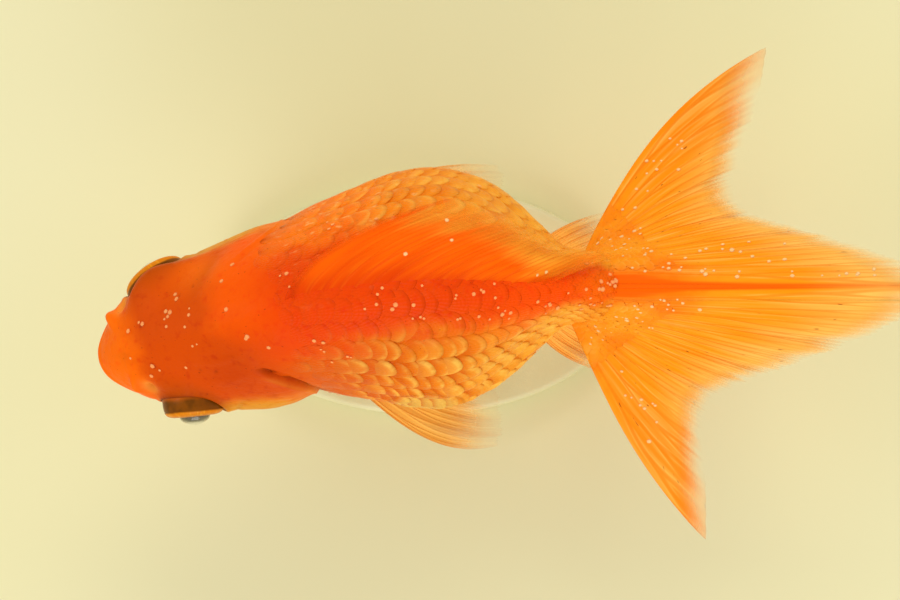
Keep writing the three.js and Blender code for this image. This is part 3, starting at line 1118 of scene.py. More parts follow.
@dataclass(frozen=True)
class TailFinish(FinFinish):
    """Golden orange of the tail, with a deep line along its crest."""

    middle: Colour = paint(255, 152, 14)
    margin: Colour = paint(255, 196, 94)
    ray: Colour = paint(255, 200, 92)
    crest: Colour = paint(254, 100, 0)
    lead: Colour = paint(254, 138, 8)
    flecks: float = 0.75
    middle_span: tuple[float, float] = (0.16, 0.4)
    margin_span: tuple[float, float] = (0.5, 1.0)
    rear_wear: float = 0.0
    ray_share: float = 0.34
    groove: float = 0.6
    streaks: float = 64.0
    clear_from: float = 0.8
    clearness: float = 1.0
    feather: float = 0.1
    seam: Colour = paint(244, 122, 6)
    soft_front: tuple[float, float] = (0.02, 0.0)
    soft_rear: float = 0.0
    tail: TailRoot = TailRoot()

    def root(self, nodes: Nodes, out: Reading, across: Reading) -> Source:
        """Colour at the fin's root."""
        return self.tail.colour(nodes, out, across)

    def line(self, out: Reading, across: Reading) -> Reading:
        """How much of the crest's colour there is at a place out and across."""
        return self.tail.line(out, across)


@dataclass(frozen=True)
class PaleFinFinish(FinFinish):
    """Paler and clearer membrane of the paired fins under the body."""

    slot: Slot = Slot.PALE_FIN
    base: Colour = paint(246, 134, 24)
    middle: Colour = paint(255, 188, 80)
    margin: Colour = paint(255, 198, 98)
    ray: Colour = paint(255, 212, 124)
    crest: Colour = paint(254, 172, 58)
    crest_width: float = 0.04
    lead: Colour = paint(255, 190, 84)
    seam: Colour = paint(248, 170, 66)
    middle_span: tuple[float, float] = (0.0, 0.4)
    margin_span: tuple[float, float] = (0.45, 1.05)
    groove: float = 0.16
    streaks: float = 20.0
    clear_from: float = 0.52
    clearness: float = 0.95
    soft_front: tuple[float, float] = (0.03, 0.5)
    soft_rear: float = 0.5


@dataclass(frozen=True)
class EyeFinish(Finish):
    """Dark ball, golden iris with a fine fibrous ring, and black pupil.

    The mark "eye" holds the distance from the eye's own axis, the angle round it and the way out
    along it.
    """

    slot: Slot = Slot.EYE
    flesh: Colour = paint(214, 96, 8)
    ball: Colour = paint(132, 70, 2)
    dark: Colour = paint(100, 54, 0)
    iris: Colour = paint(224, 128, 12)
    glint: Colour = paint(238, 156, 28)
    bright: Colour = paint(240, 186, 92)
    pupil: Colour = paint(10, 7, 6)

    def paint_nodes(self, nodes: Nodes) -> None:
        """Fills the material's node tree."""
        radius, angle, way = nodes.mark("eye")
        spokes = nodes.join(nodes.math("SINE", angle) * 9, nodes.math("COSINE", angle) * 9, radius)
        fibre = nodes.noise(spokes, 1.6, 3)
        cloud = nodes.noise(nodes.surface(), 500, 3)
        ring = Layers(nodes, nodes.blend(self.iris, self.glint, fibre.step(0.45, 0.75)))
        ring.lay(self.dark, radius.bell(2.9, 0.35) * 0.35)
        ring.lay(self.bright, radius.bell(1.95, 0.2) * 0.75)
        ball = Layers(nodes, nodes.blend(self.ball, self.dark, cloud.step(0.35, 0.7)))
        ball.lay(self.flesh, (way + (cloud - 0.5) * 0.6).step(2.1, 1.3) * 0.8)
        ball.lay(ring.colour, (way + (cloud - 0.5) * 0.4).step(3.15, 3.45))
        ball.lay(self.pupil, radius.step(1.70, 1.66) * way.step(3.0, 3.2))
        nodes.shine(
            Base_Color=ball.colour,
            Roughness=0.2,
            Specular_IOR_Level=0.08,
            Normal=nodes.bump(fibre * radius.step(1.7, 2.0), 0.00004),
        )


@dataclass(frozen=True)
class CorneaFinish(Finish):
    """Clear wet bulge in front of the iris."""

    slot: Slot = Slot.CORNEA
    tint: Colour = paint(122, 112, 76)

    def paint_nodes(self, nodes: Nodes) -> None:
        """Fills the material's node tree."""
        radius, _, _ = nodes.mark("eye")
        nodes.shine(
            Base_Color=self.tint,
            Roughness=0.04,
            Alpha=radius.step(0.9, 1.8) * 0.44 + 0.06,
            Specular_IOR_Level=0.8,
            Coat_Weight=1.0,
            Coat_Roughness=0.02,
        )


@dataclass(frozen=True)
class SpotFinish(Finish):
    """Small raised white spot, which fades into the skin at its rim.

    The mark "spot" holds the height over its rim, 1 at its top, and 1 on a fin.
    """

    slot: Slot = Slot.SPOT
    white: Colour = paint(255, 170, 100)
    warm: Colour = paint(255, 148, 74)
    pale: Colour = paint(255, 210, 142)

    def paint_nodes(self, nodes: Nodes) -> None:
        """Fills the material's node tree."""
        where = nodes.surface()
        height, on_fin, _ = nodes.mark("spot")
        grain = nodes.noise(where, 1500, 2)
        white = nodes.blend(self.white, self.warm, grain.step(0.5, 0.8))
        nodes.shine(
            Base_Color=nodes.blend(white, self.pale, on_fin),
            Roughness=0.45,
            Specular_IOR_Level=0.05,
            Alpha=height.step(0.1, 1.0) * 0.88,
            Normal=nodes.bump(nodes.noise(where, 5000), 0.00003),
        )


@dataclass(frozen=True)
class ResinFinish(Finish):
    """Cream satin resin of the stand."""

    slot: Slot = Slot.STAND
    cream: Colour = paint(226, 220, 172)
    warm: Colour = paint(216, 208, 156)

    def paint_nodes(self, nodes: Nodes) -> None:
        """Fills the material's node tree."""
        where = nodes.surface()
        cloud = nodes.noise(where, 60, 4)
        nodes.shine(
            Base_Color=nodes.blend(self.cream, self.warm, cloud.step(0.35, 0.65)),
            Roughness=nodes.noise(where, 400) * 0.15 + 0.42,
            Normal=nodes.bump(nodes.noise(where, 2500, 3), 0.00003),
        )


@dataclass(frozen=True)
class FloorFinish(Finish):
    """Plain pale floor."""

    slot: Slot = Slot.STAND
    pale: Colour = paint(228, 221, 168)
    paler: Colour = paint(230, 224, 176)

    def paint_nodes(self, nodes: Nodes) -> None:
        """Fills the material's node tree."""
        cloud = nodes.noise(nodes.surface(), 9, 2)
        nodes.shine(
            Base_Color=nodes.blend(self.pale, self.paler, cloud.step(0.35, 0.65)),
            Roughness=0.8,
        )


# ---- skin and coat


@dataclass(frozen=True)
class CoatDepth:
    """How far the scales stand out, and how deep the skin lies under them."""

    bare: float = 0.08
    under: float = 0.12
    share: float = 0.5
    stem_end: tuple[float, float] = (59.5, 66.8)
    stem_depth: float = 1.8

    def relief(self, at: Array, turn: Array) -> Array:
        """How strongly the scales stand out, about 1 on the flanks.

        Args:
            at: Distances behind the snout.
            turn: Turns round the body, 0 on the ridge and 1 or -1 under the belly.

        Returns:
            The relief at each place.
        """
        fall = np.abs(turn)
        made = 0.16 + 0.7 * smooth(fall + 0.05 * (turn < 0), 0.10, 0.30)
        made = made * (0.4 + 0.6 * smooth(at, 21, 34)) * (1 - 0.3 * smooth(fall, 0.7, 0.95))
        made = made * (1 - 0.55 * smooth(at, 46, 60)) * (1 - 0.2 * smooth(turn, 0.05, 0.2))
        raised = bell(at - 41, 7) * bell(turn + 0.38, 0.17)
        return made * (1 + 0.95 * raised)

    def inset(self, at: Array, turn: Array) -> Array:
        """Depth of the skin below the frame's flesh, which grows where the tail leaves the stem.

        Args:
            at: Distances behind the snout.
            turn: Turns round the body.

        Returns:
            The depth at each place.
        """
        scaled = self.under + self.share * self.relief(at, turn)
        depth = self.bare + (scaled - self.bare) * smooth(at, 20.5, 24.5)
        return depth + self.stem_depth * smooth(at, *self.stem_end)


@dataclass(frozen=True)
class EyeSeat:
    """Where the eye of one side sits, how far it turns, in degrees, and how the skin covers it.

    The golden rim reaches back along the ball by a length of its own.
    """

    side: Side
    at: float
    out: float
    turn: float
    pitch: float
    cover: float
    rim: float = 0.0
    height: float = 1.5
    ball: float = 3.85

    def centre(self, snout_x: float) -> Array:
        """Centre of the ball."""
        return np.array([snout_x + self.at, self.side.value * self.out, self.height])

    def axes(self) -> tuple[Array, Array, Array]:
        """Directions of the eye's frame.

        Returns:
            The directions out of the eye, backwards across it and up it.
        """
        turn, pitch = math.radians(self.turn), math.radians(self.pitch)
        c, s = math.cos(turn), math.sin(turn)
        level, rise = math.cos(pitch), math.sin(pitch)
        way = self.side.value
        out = np.array([-s * level, way * c * level, rise])
        up = np.array([s * rise, -way * c * rise, level])
        return out, np.array([c, way * s, 0]), up


@dataclass
class Ground:
    """The bare body under the skin, with the heights that features add to it."""

    at: Array
    y: Array
    z: Array
    height: Array
    # How strongly the skin is darkened by painted shade in a hollow, and paled on a fold, partly as a
    # painted highlight.
    deep: Array
    raised: Array

    def add(self, shape: Array, height: float, deep: float = 0.0, raised: float = 0.0) -> None:
        """Lays a feature over the ground.

        Args:
            shape: Strength of the feature at each point, 0 to 1.
            height: How far it stands out, in millimetres.
            deep: How much of a hollow it is, which the skin darkens as painted shade.
            raised: How much of a fold it is, which the skin pales, partly as a painted highlight.
        """
        self.height += shape * height
        self.deep = np.maximum(self.deep, shape * deep)
        self.raised = np.maximum(self.raised, shape * raised)


@dataclass(frozen=True)
class Mouth:
    """Small mouth at the snout's tip, with thick lips."""

    start: float = -1.0
    length: float = 9.5
    line: tuple[float, float, float] = (-0.9, -1.2, -8.0)
    corner: float = 4.2

    def carve(self, ground: Ground) -> None:
        """Presses the mouth into the snout.

        Args:
            ground: The body to carve.
        """
        at, z = ground.at, ground.z
        u = (at - self.start) / self.length
        level, slope, drop = self.line
        off = z - (level + slope * u + drop * u**3)
        open_to = 1 - smooth(at, self.corner - 0.9, self.corner + 0.2)
        lips = 1 - smooth(at, self.corner - 2.2, self.corner + 1.0)
        ground.height -= 0.3 * (1 - smooth(at, 0, 4.0))
        # The mouth's slit, darkened as painted shade.
        ground.add(bell(off, 0.2) * open_to, -0.6, deep=1.0)
        ground.add(bell(off - 0.75, 0.5) * lips, 0.22, raised=0.3)
        ground.add(bell(off + 0.7, 0.48) * lips, 0.22, raised=0.4)
        ground.add(bell(off + 1.6, 0.3) * lips, -0.1, deep=0.2)
        fold = bell(off + 0.4, 0.35) * bell(at - self.corner - 1.4, 1.2)
        ground.add(fold, -0.2, deep=0.35)


@dataclass(frozen=True)
class Nostril:
    """Nostril on one side: a pale pit behind an upright flap of skin, and a smaller one ahead."""

    side: Side
    at: float
    out: float
    height: float
    flap_ahead: float = 1.6

    def carve(self, ground: Ground) -> None:
        """Raises the flap and sinks the pits.

        Args:
            ground: The body to carve.
        """
        at, y, z = ground.at, ground.y, ground.z
        across = y * self.side.value - self.out
        up = z - self.height
        ahead = self.at - self.flap_ahead - at
        flap = bell(ahead, 0.5) * bell(across + 0.3, 1.4) * bell(up, 1.5)
        ground.add(flap, 1.15, raised=0.35)
        pale = np.sqrt((at - self.at) ** 2 + (0.8 * across) ** 2 + up**2)
        ground.add(bell(pale, 1.2), -0.15, raised=1.0)
        # Both pits are darkened as painted shade.
        for shift, depth in ((-1.95, 0.35), (0.0, 0.8)):
            pit = np.sqrt((at - self.at - shift) ** 2 + across**2 + up**2)
            ground.add(bell(pit, 0.5), -depth, deep=0.3)


@dataclass(frozen=True)
class GillCover:
    """Bony cover over the gills on one side, with a slit behind its free edge."""

    side: Side
    flare: float
    gape: float
    cheek: float
    at: float = 18.0
    height: float = -1.2
    length: float = 6.4
    rise: float = 11.0
    drop: float = 9.2

    def reach(self, at: Array, z: Array) -> Array:
        """1 on the cover's edge, less inside it."""
        depth = np.where(z > self.height, self.rise, self.drop)
        return np.hypot((at - self.at) / self.length, (z - self.height) / depth)

    def carve(self, ground: Ground) -> None:
        """Raises the cover and sinks the slit.

        Args:
            ground: The body to carve.
        """
        at, y, z = ground.at, ground.y, ground.z
        here = smooth(y * self.side.value, 1.0, 3.0)
        out = self.reach(at, z)
        back = np.clip((at - self.at + self.length) / (2 * self.length), 0, 1)
        free = smooth(at, 17.4, 20.0)
        lifted = back * (1 - 0.6 * smooth(at, 21.0, 24.6))
        level = bell(z + 0.5, 7.5)
        face = smooth(at, 9.0, 13.5) * (1 - smooth(at, 17, 24.4))
        ground.height += here * self.cheek * face * level
        ground.height += here * self.flare * lifted * smooth(out, 1.0 + 0.25 * (1 - free), 0.94)
        # The slit behind the free edge is darkened as painted shade, and a painted highlight runs
        # along the edge.
        slit = here * free * bell(out - 1.04, 0.032) * (0.1 + 0.9 * smooth(z, -7.5, -3.5))
        ground.add(slit, -0.06 - 0.7 * self.gape, deep=0.05 + 0.8 * self.gape)
        ground.add(here * free * bell(out - 0.96, 0.03), 0.08, raised=0.15 + 0.4 * self.gape)
        inner = here * smooth(z, 5.5, 2.5) * smooth(at, 13.0, 14.0)
        ground.add(inner * bell(out - 0.62, 0.05) * (1 - free), -0.1, deep=0.2)
        fan = np.arctan2(z - 5.0, at - 14.5)
        lines = 0.5 + 0.5 * np.sin(fan * 26)
        ground.add(here * lines * smooth(out, 0.9, 0.7) * free, 0.05)


@dataclass(frozen=True)
class HeadDetail:
    """Nape fold, brow ridges, sense pores and the bases of the fins."""

    pores: tuple[tuple[float, float, float], ...] = (
        (6.4, 2.6, 6.0), (7.8, 3.4, 7.0), (9.6, 4.0, 7.8), (11.6, 4.6, 8.4), (13.4, 5.2, 8.8),
        (6.0, 6.2, -1.4), (7.6, 7.0, -2.8), (9.6, 7.6, -3.8), (11.6, 8.2, -3.9),
    )

    def carve(self, ground: Ground) -> None:
        """Adds the details.

        Args:
            ground: The body to carve.
        """
        at, y, z = ground.at, ground.y, ground.z
        top = smooth(z, 2, 6)
        side = np.abs(y)
        nape = 14.4 + 0.7 * np.maximum(-y - 1.0, 0) - 0.03 * np.maximum(y, 0) ** 2
        ground.height += 0.16 * top * smooth(at - nape, -1.1, 1.1)
        ground.height -= 0.16 * top * smooth(at - nape, 3, 10)
        groove = bell(at - 14.6 - 0.9 * (y - 5.5), 1.0) * bell(y - 6.2, 2.4)
        ground.add(groove * top, -0.22, deep=0.22)
        for fold, reach in ((-4.2, 1.5), (-6.4, 1.2)):
            arc = bell(y - fold - 0.05 * (at - 15) ** 2, 0.4)
            ground.add(arc * bell(at - 14.5, 3.0) * top, 0.1 * reach)
        brow = bell(at - 9.2, 3.0) * bell(z - 5.6, 1.0) * smooth(side, 3, 5)
        ground.add(brow, 0.28)
        ground.add(bell(at - 5.6, 1.6) * bell(side - 2.2, 1.3) * top, -0.14)
        snout = bell(at - 2.8, 1.8) * smooth(side, 1.6, 3.6)
        ground.height -= 0.15 * snout
        # The sense pores are darkened as painted shade.
        for back, out, up in self.pores:
            away = np.sqrt((at - back) ** 2 + (side - out) ** 2 + (z - up) ** 2)
            ground.add(bell(away, 0.22), -0.16, deep=0.5)
        base = np.sqrt(((at - 25.4) / 1.6) ** 2 + ((z + 8.6) / 2.6) ** 2)
        ground.add(bell(base, 1.0) * smooth(side, 4, 6), 0.5, raised=0.1)
        vent = np.sqrt((at - 48.6) ** 2 + side**2)
        under = smooth(z, -6, -9)
        ground.add(bell(vent, 1.1) * under, 0.35, raised=0.4)
        ground.add(bell(vent, 0.35) * under, -0.5, deep=0.9)


@dataclass
class Skin:
    """One skin over the head, jaw, gill covers, trunk and tail stem."""

    wrap: BodyWrap
    depth: CoatDepth
    seats: tuple[EyeSeat, ...]
    covers: tuple[GillCover, ...]
    columns: int = 312
    lid: float = 3.8
    over_ball: float = 0.1
    snout_share: float = 0.8
    snout_end: float = 4.6
    fine_end: float = 24.0
    fine: float = 0.14
    coarse: float = 0.42
    nostrils: tuple[Nostril, ...] = (
        Nostril(Side.RIGHT, at=4.9, out=5.5, height=2.0),
        Nostril(Side.LEFT, at=5.0, out=4.8, height=3.4),
    )

    def build(self) -> Draft:
        """The skin's mesh.

        Returns:
            The mesh, with the marks place and carve.
        """
        form = self.wrap.form
        rings = form.rings([(self.fine_end, self.fine), (form.length - form.stern, self.coarse)])
        at, share = np.meshgrid(rings, np.arange(self.columns) / self.columns, indexing="ij")
        at, share = at.ravel(), share.ravel()
        points, normals = self.wrap.locate(at, share)
        turn = 1 - 2 * share
        zero = np.zeros(len(at))
        ground = Ground(at, points[:, 1], points[:, 2], zero, zero.copy(), zero.copy())
        ground.height = -self.depth.inset(at, turn)
        for feature in (Mouth(), *self.covers, HeadDetail(), *self.nostrils):
            feature.carve(ground)
        made = points + normals * ground.height[:, None]
        made[:, 1] *= lerp(self.snout_share, 1, smooth(at, 0.6, self.snout_end))
        for seat in self.seats:
            above = bell(points[:, 2] - seat.height - 3.6, 1.5) * bell(at - seat.at + 2.2, 4.6)
            above = above * smooth(at, 4.0, 6.6)
            beside = smooth(points[:, 1] * seat.side.value, 3, 5)
            made[:, 1] += seat.side.value * seat.cover * above * beside
        for seat in self.seats:
            made = self._open(made, ground, seat)
        carve = stacked(ground.deep, ground.raised, 0.0)
        marks = {"place": stacked(at, turn, points[:, 2]), "carve": np.clip(carve, 0, 1)}
        return Draft(made, tube_faces(len(rings), self.columns), marks)

    def _open(self, points: Array, ground: Ground, seat: EyeSeat) -> Array:
        """Opens the socket of one eye.

        Args:
            points: The skin's points.
            ground: Their features, which get the lid's.
            seat: The eye's seat.

        Returns:
            The points, drawn over the eye's ball round the lid and sunk into it inside the lid.
        """
        out, _, _ = seat.axes()
        from_centre = points - seat.centre(self.wrap.form.snout_x)
        far = np.linalg.norm(from_centre, axis=1)
        shell = seat.ball + self.over_ball
        drawn = 0.5 * (far + shell + np.sqrt((far - shell) ** 2 + 0.3))
        hug = smooth(from_centre @ out, -1.5, 0.3) * smooth(far, 7.0, 5.0)
        from_centre = from_centre * (lerp(far, drawn, hug) / far)[:, None]
        along = from_centre @ out
        across = from_centre - along[:, None] * out
        away = np.linalg.norm(across, axis=1)
        near = (along > 0) & (away < 6)
        inside = np.sqrt(np.maximum(seat.ball**2 - np.minimum(away, seat.ball) ** 2, 0))
        excess = np.maximum(along - (inside - 0.4), 0)
        sunk = near * excess * smooth(away, self.lid, self.lid - 0.3)
        lid = near * bell(away - self.lid - 0.35, 0.32) * smooth(along, 0.6, 1.6)
        # The groove round the lid is darkened as painted shade.
        ground.deep = np.maximum(ground.deep, near * bell(away - self.lid + 0.1, 0.2))
        centre = seat.centre(self.wrap.form.snout_x)
        return centre + from_centre + (lid * 0.15 - sunk)[:, None] * out


class ScaleDisc:
    """Points of a rounded, domed scale, as a disc over another.

    They are placed along the scale, from its root at -1 to its free edge at 1, and across it.
    """

    def __init__(self, grid: int, patch: float = 0.0015) -> None:
        """Lays out the points.

        Args:
            grid: Points along the scale and across it.
            patch: Half the size of the scale's patch on the unwrap of the skin.
        """
        edge = np.linspace(-1, 1, grid)
        p, q = (side.ravel() for side in np.meshgrid(edge, edge, indexing="ij"))
        self.grid = grid
        self.patch = patch
        self.along = p * np.sqrt(1 - q * q / 2)
        self.across = q * np.sqrt(1 - p * p / 2)
        self.away = np.hypot(self.along, self.across)
        self.rise = (self.along + 1) / 2
        self.swell = (1 - self.away**2.2) * (0.35 + 0.65 * self.rise)

    def mesh(self, over: Array, under: Array, place: Array, tone: Array, root: Array) -> Draft:
        """Mesh of scales.

        Args:
            over: Upper points of each scale.
            under: The points below them.
            place: What the mark place holds at them.
            tone: Tone of each scale.
            root: Place of each scale on the unwrap of the skin.

        Returns:
            The mesh, with the marks place and scale and the patches.
        """
        starts = np.arange(len(over))[:, None, None] * 2 * self.grid**2
        faces = (shell_faces(self.grid, self.grid)[None] + starts).reshape(-1, 4)
        patch = root[:, None] + stacked(self.along, self.across) * self.patch
        scale = stacked(self.along, self.across, tone[:, None])
        marks = {"place": self._both(place, place), "scale": self._both(scale, scale)}
        return Draft(self._both(over, under), faces, marks, self._both(patch, patch))

    @staticmethod
    def _both(over: Array, under: Array) -> Array:
        """Values of each scale's upper points and of the points below them, one a row."""
        return np.concatenate([over, under], axis=1).reshape(-1, over.shape[-1])


@dataclass
class Coat:
    """Overlapping scales from behind the gill slits to the tail's root."""

    wrap: BodyWrap
    depth: CoatDepth
    covers: tuple[GillCover, ...]
    first: float = 20.6
    pitch: float = 1.76
    tightening: float = 0.0042
    columns: int = 28
    rows: int = 30
    middle: float = 40.5
    half_length: float = 2.5
    half_width: float = 0.66
    droop: float = 0.55
    lift: float = 0.56
    dome: float = 0.34
    thickness: float = 0.09
    rim: float = 0.16
    line_row: int = 8
    line_height: float = 0.2
    bare_end: float = 4.6
    disc: ScaleDisc = ScaleDisc(11)

    def build(self) -> dict[str, Draft]:
        """Meshes of the scales of each side's front and rear.

        Returns:
            The meshes by name, with the marks place and scale and the scales' patches.
        """
        rng = np.random.default_rng(7)
        i, j = np.meshgrid(np.arange(self.columns), np.arange(self.rows), indexing="ij")
        step = (i + 0.5 * (j % 2)).ravel()
        at = self.first + self.pitch * step - self.tightening * step**2
        share = ((j + 0.5) / self.rows).ravel()
        at = at + rng.normal(0, 0.14, at.shape)
        share = share + rng.normal(0, 0.0024, at.shape)
        size = rng.normal(1, 0.06, at.shape)
        tone = rng.uniform(0, 1, at.shape)
        line = np.isin(j.ravel(), (self.line_row, self.rows - 1 - self.line_row))
        points, _ = self.wrap.locate(at, share)
        clear = at < self.wrap.form.length - self.bare_end
        for cover in self.covers:
            beside = points[:, 1] * cover.side.value > 0
            clear &= ~(beside & (cover.reach(at - 1.3, points[:, 2]) < 1.12))
        drafts = {}
        for side, near in ((Side.RIGHT, share < 0.5), (Side.LEFT, share >= 0.5)):
            for word, stretch in (("front", at < self.middle), ("rear", at >= self.middle)):
                kept = clear & near & stretch
                chosen = (values[kept] for values in (at, share, size, tone, line))
                drafts[f"scales_{side.word}_{word}"] = self._scales(*chosen)
        return drafts

    def _scales(
        self, at: Array, share: Array, size: Array, tone: Array, line: Array
    ) -> Draft:
        """Mesh of some scales.

        Args:
            at: Distances of their middles behind the snout.
            share: Shares of the girth of their middles.
            size: Their sizes, about 1.
            tone: Their tones, 0 to 1.
            line: Whether each bears a tube of the lateral line.

        Returns:
            The mesh.
        """
        disc = self.disc
        a, b = disc.along, disc.across
        hung = 1 - self.droop * b**2
        domed = self.dome * disc.swell * (0.6 + 0.8 * tone)[:, None]
        shape = self.lift * disc.rise**1.3 * hung + domed
        tube = self.line_height * bell(b, 0.2) * smooth(a, -0.1, 0.2) * smooth(a, 0.98, 0.75)
        stem = 1 - 0.2 * smooth(at, 50, 62)
        place = at[:, None] + a * (self.half_length * size * stem)[:, None]
        around = share[:, None] + b * (self.half_width * size / self.rows)[:, None]
        turn = 1 - 2 * around
        relief = self.depth.relief(at, 1 - 2 * share)[:, None]
        height = relief * (shape + tube * line[:, None]) - self.depth.inset(place, turn)
        points, normals = self.wrap.locate(place, around)
        over = points + normals * height[..., None]
        edge = relief * self.rim * disc.rise**1.5
        thick = self.thickness * smooth(disc.away, 1.0, 0.8) + edge
        where = stacked(place, turn, points[..., 2])
        root = stacked(at / self.wrap.form.length, share)
        return disc.mesh(over, over - normals * thick[..., None], where, tone, root)


# ---- fins


def bowed_ray(root: Array, tip: Array, bow: Array, bow_at: float, u: Array) -> Array:
    """Places on bowed rays in plan.

    Args:
        root: Where the rays start.
        tip: Where they end.
        bow: How far their control points stand off to the left.
        bow_at: How far along the ray the control points stand.
        u: Places along the rays, 0 to 1.

    Returns:
        The places.
    """
    chord = tip - root
    left = unit(stacked(-chord[..., 1], chord[..., 0]))
    return bezier(root, root + chord * bow_at + left * bow[..., None], tip, u[..., None])


@dataclass(frozen=True)
class DorsalForm:
    """Middle of the dorsal fin, laid over the right flank."""

    form: BodyForm
    root: tuple[tuple[float, float], ...] = ((-15.0, 1.0), (15.0, 0.2))
    margin: tuple[tuple[float, float], ...] = ((4.9, 10.2), (22.8, 3.6))
    bow: float = 3.6
    bow_at: float = 0.2
    sunk: float = 0.4
    lift: float = 1.4
    drape: float = 0.8
    folds: float = 0.22

    def __call__(self, u: Array, v: Array) -> Array:
        """Points of the fin's middle sheet.

        Args:
            u: Places from root to margin.
            v: Places from the front ray to the rear one.

        Returns:
            The points.
        """
        v2 = v[..., None]
        root = lerp(np.array(self.root[0]), np.array(self.root[1]), v2)
        tip = lerp(np.array(self.margin[0]), np.array(self.margin[1]), v2)
        plan = bowed_ray(root, tip, self.bow * (1 - v) ** 2, self.bow_at, u)
        x, y = plan[..., 0], plan[..., 1]
        at = x - self.form.snout_x
        middle = self.form.widest_at(at)
        across = np.minimum(1, np.abs(self.drape * y / self.form.half_width(at)))
        z = middle + (self.form.back(at) - middle) * np.sqrt(1 - across**2)
        fold = self.folds * np.sin(v * 31 + u * 2) * smooth(u, 0.05, 0.5)
        return stacked(x, y, z + lerp(-self.sunk, self.lift, u) + fold)


@dataclass(frozen=True)
class TailForm:
    """Middle of one half of the twin tail."""

    side: Side
    spread: float
    fork: float
    fork_length: float
    lobe: float
    lower: float
    bow: float
    lead_x: float
    upper: float = 2.0
    median: float = 35.2
    hub: tuple[float, float] = (26.4, 0.3)
    root_x: float = 25.2
    root_heights: tuple[float, float] = (8.0, -2.0)
    root_inner: float = 0.1
    root_side: float = 4.1
    climb: tuple[float, float] = (12.0, -22.0)
    ripple: float = 0.5
    folds: float = 0.3
    tuck: float = 0.4

    def reach(self, v: Array) -> Array:
        """Distance of the margin from the hub.

        Args:
            v: Places from the median ray to the leading one.

        Returns:
            The distance at each place.
        """
        angle = v * self.spread
        before = np.clip(1 - angle / self.fork, 0, 1)
        near = lerp(self.fork_length, self.median, before**self.upper)
        past = np.clip((angle - self.fork) / (self.spread - self.fork), 0, 1)
        far = lerp(self.fork_length, self.lobe, past**self.lower)
        return np.where(angle < self.fork, near, far)

    def __call__(self, u: Array, v: Array) -> Array:
        """Points of the fin's middle sheet.

        Args:
            u: Places from root to margin.
            v: Places from the median ray to the leading one.

        Returns:
            The points.
        """
        aside = self.root_side * np.sqrt(np.maximum(1 - (1 - v) ** 2, 0))
        root = stacked(lerp(self.root_x, self.lead_x, v), self.root_inner + aside)
        angle = np.radians(self.spread * v)
        reach = self.reach(v)
        margin = self.hub + stacked(reach * np.cos(angle), reach * np.sin(angle))
        length = np.linalg.norm(margin - root, axis=-1)
        plan = bowed_ray(root, margin, self.bow * length * v**1.5, 0.5, u)
        climb = np.tan(np.radians(lerp(*self.climb, v))) * length * u
        wave = self.ripple * u * u * np.sin(8 * math.pi * v)
        fold = self.folds * smooth(u, 0.1, 0.9) * np.sin(v * 53 + 2.5 * u + self.side.value)
        z = lerp(*self.root_heights, v) + climb + wave + fold
        tucked = 1 - smooth(v, 0.0, 0.02)
        y = plan[..., 1] - self.tuck * tucked
        return stacked(plan[..., 0], self.side.value * y, z - 0.12 * tucked)


@dataclass(frozen=True)
class FanForm:
    """Middle of a paired fin: a fan between its front and its rear ray.

    Each ray is three points, its root, its bow and its tip.
    """

    side: Side
    front: tuple[tuple[float, float, float], ...]
    rear: tuple[tuple[float, float, float], ...]
    round: float
    spread: float
    ripple: float = 0.4
    folds: float = 0.12

    def _ray(self, ray: tuple[tuple[float, float, float], ...], key: int) -> Array:
        """One point of a ray, on the fin's own side."""
        x, y, z = ray[key]
        return np.array([x, self.side.value * lerp(ray[0][1], y, self.spread), z])

    def __call__(self, u: Array, v: Array) -> Array:
        """Points of the fin's middle sheet.

        Args:
            u: Places from root to margin.
            v: Places from the front ray to the rear one.

        Returns:
            The points.
        """
        u, v = u[..., None], v[..., None]
        root, bow, tip = (lerp(self._ray(self.front, k), self._ray(self.rear, k), v) for k in range(3))
        tip = tip + unit(tip - root) * self.round * 4 * v * (1 - v)
        points = bezier(root, bow, tip, u)
        wave = self.ripple * u**2 * np.sin(4 * math.pi * v)
        fold = self.folds * smooth(u, 0.1, 0.9) * np.sin(v * 37 + 3 * u)
        points[..., 2:] += wave + fold
        return points


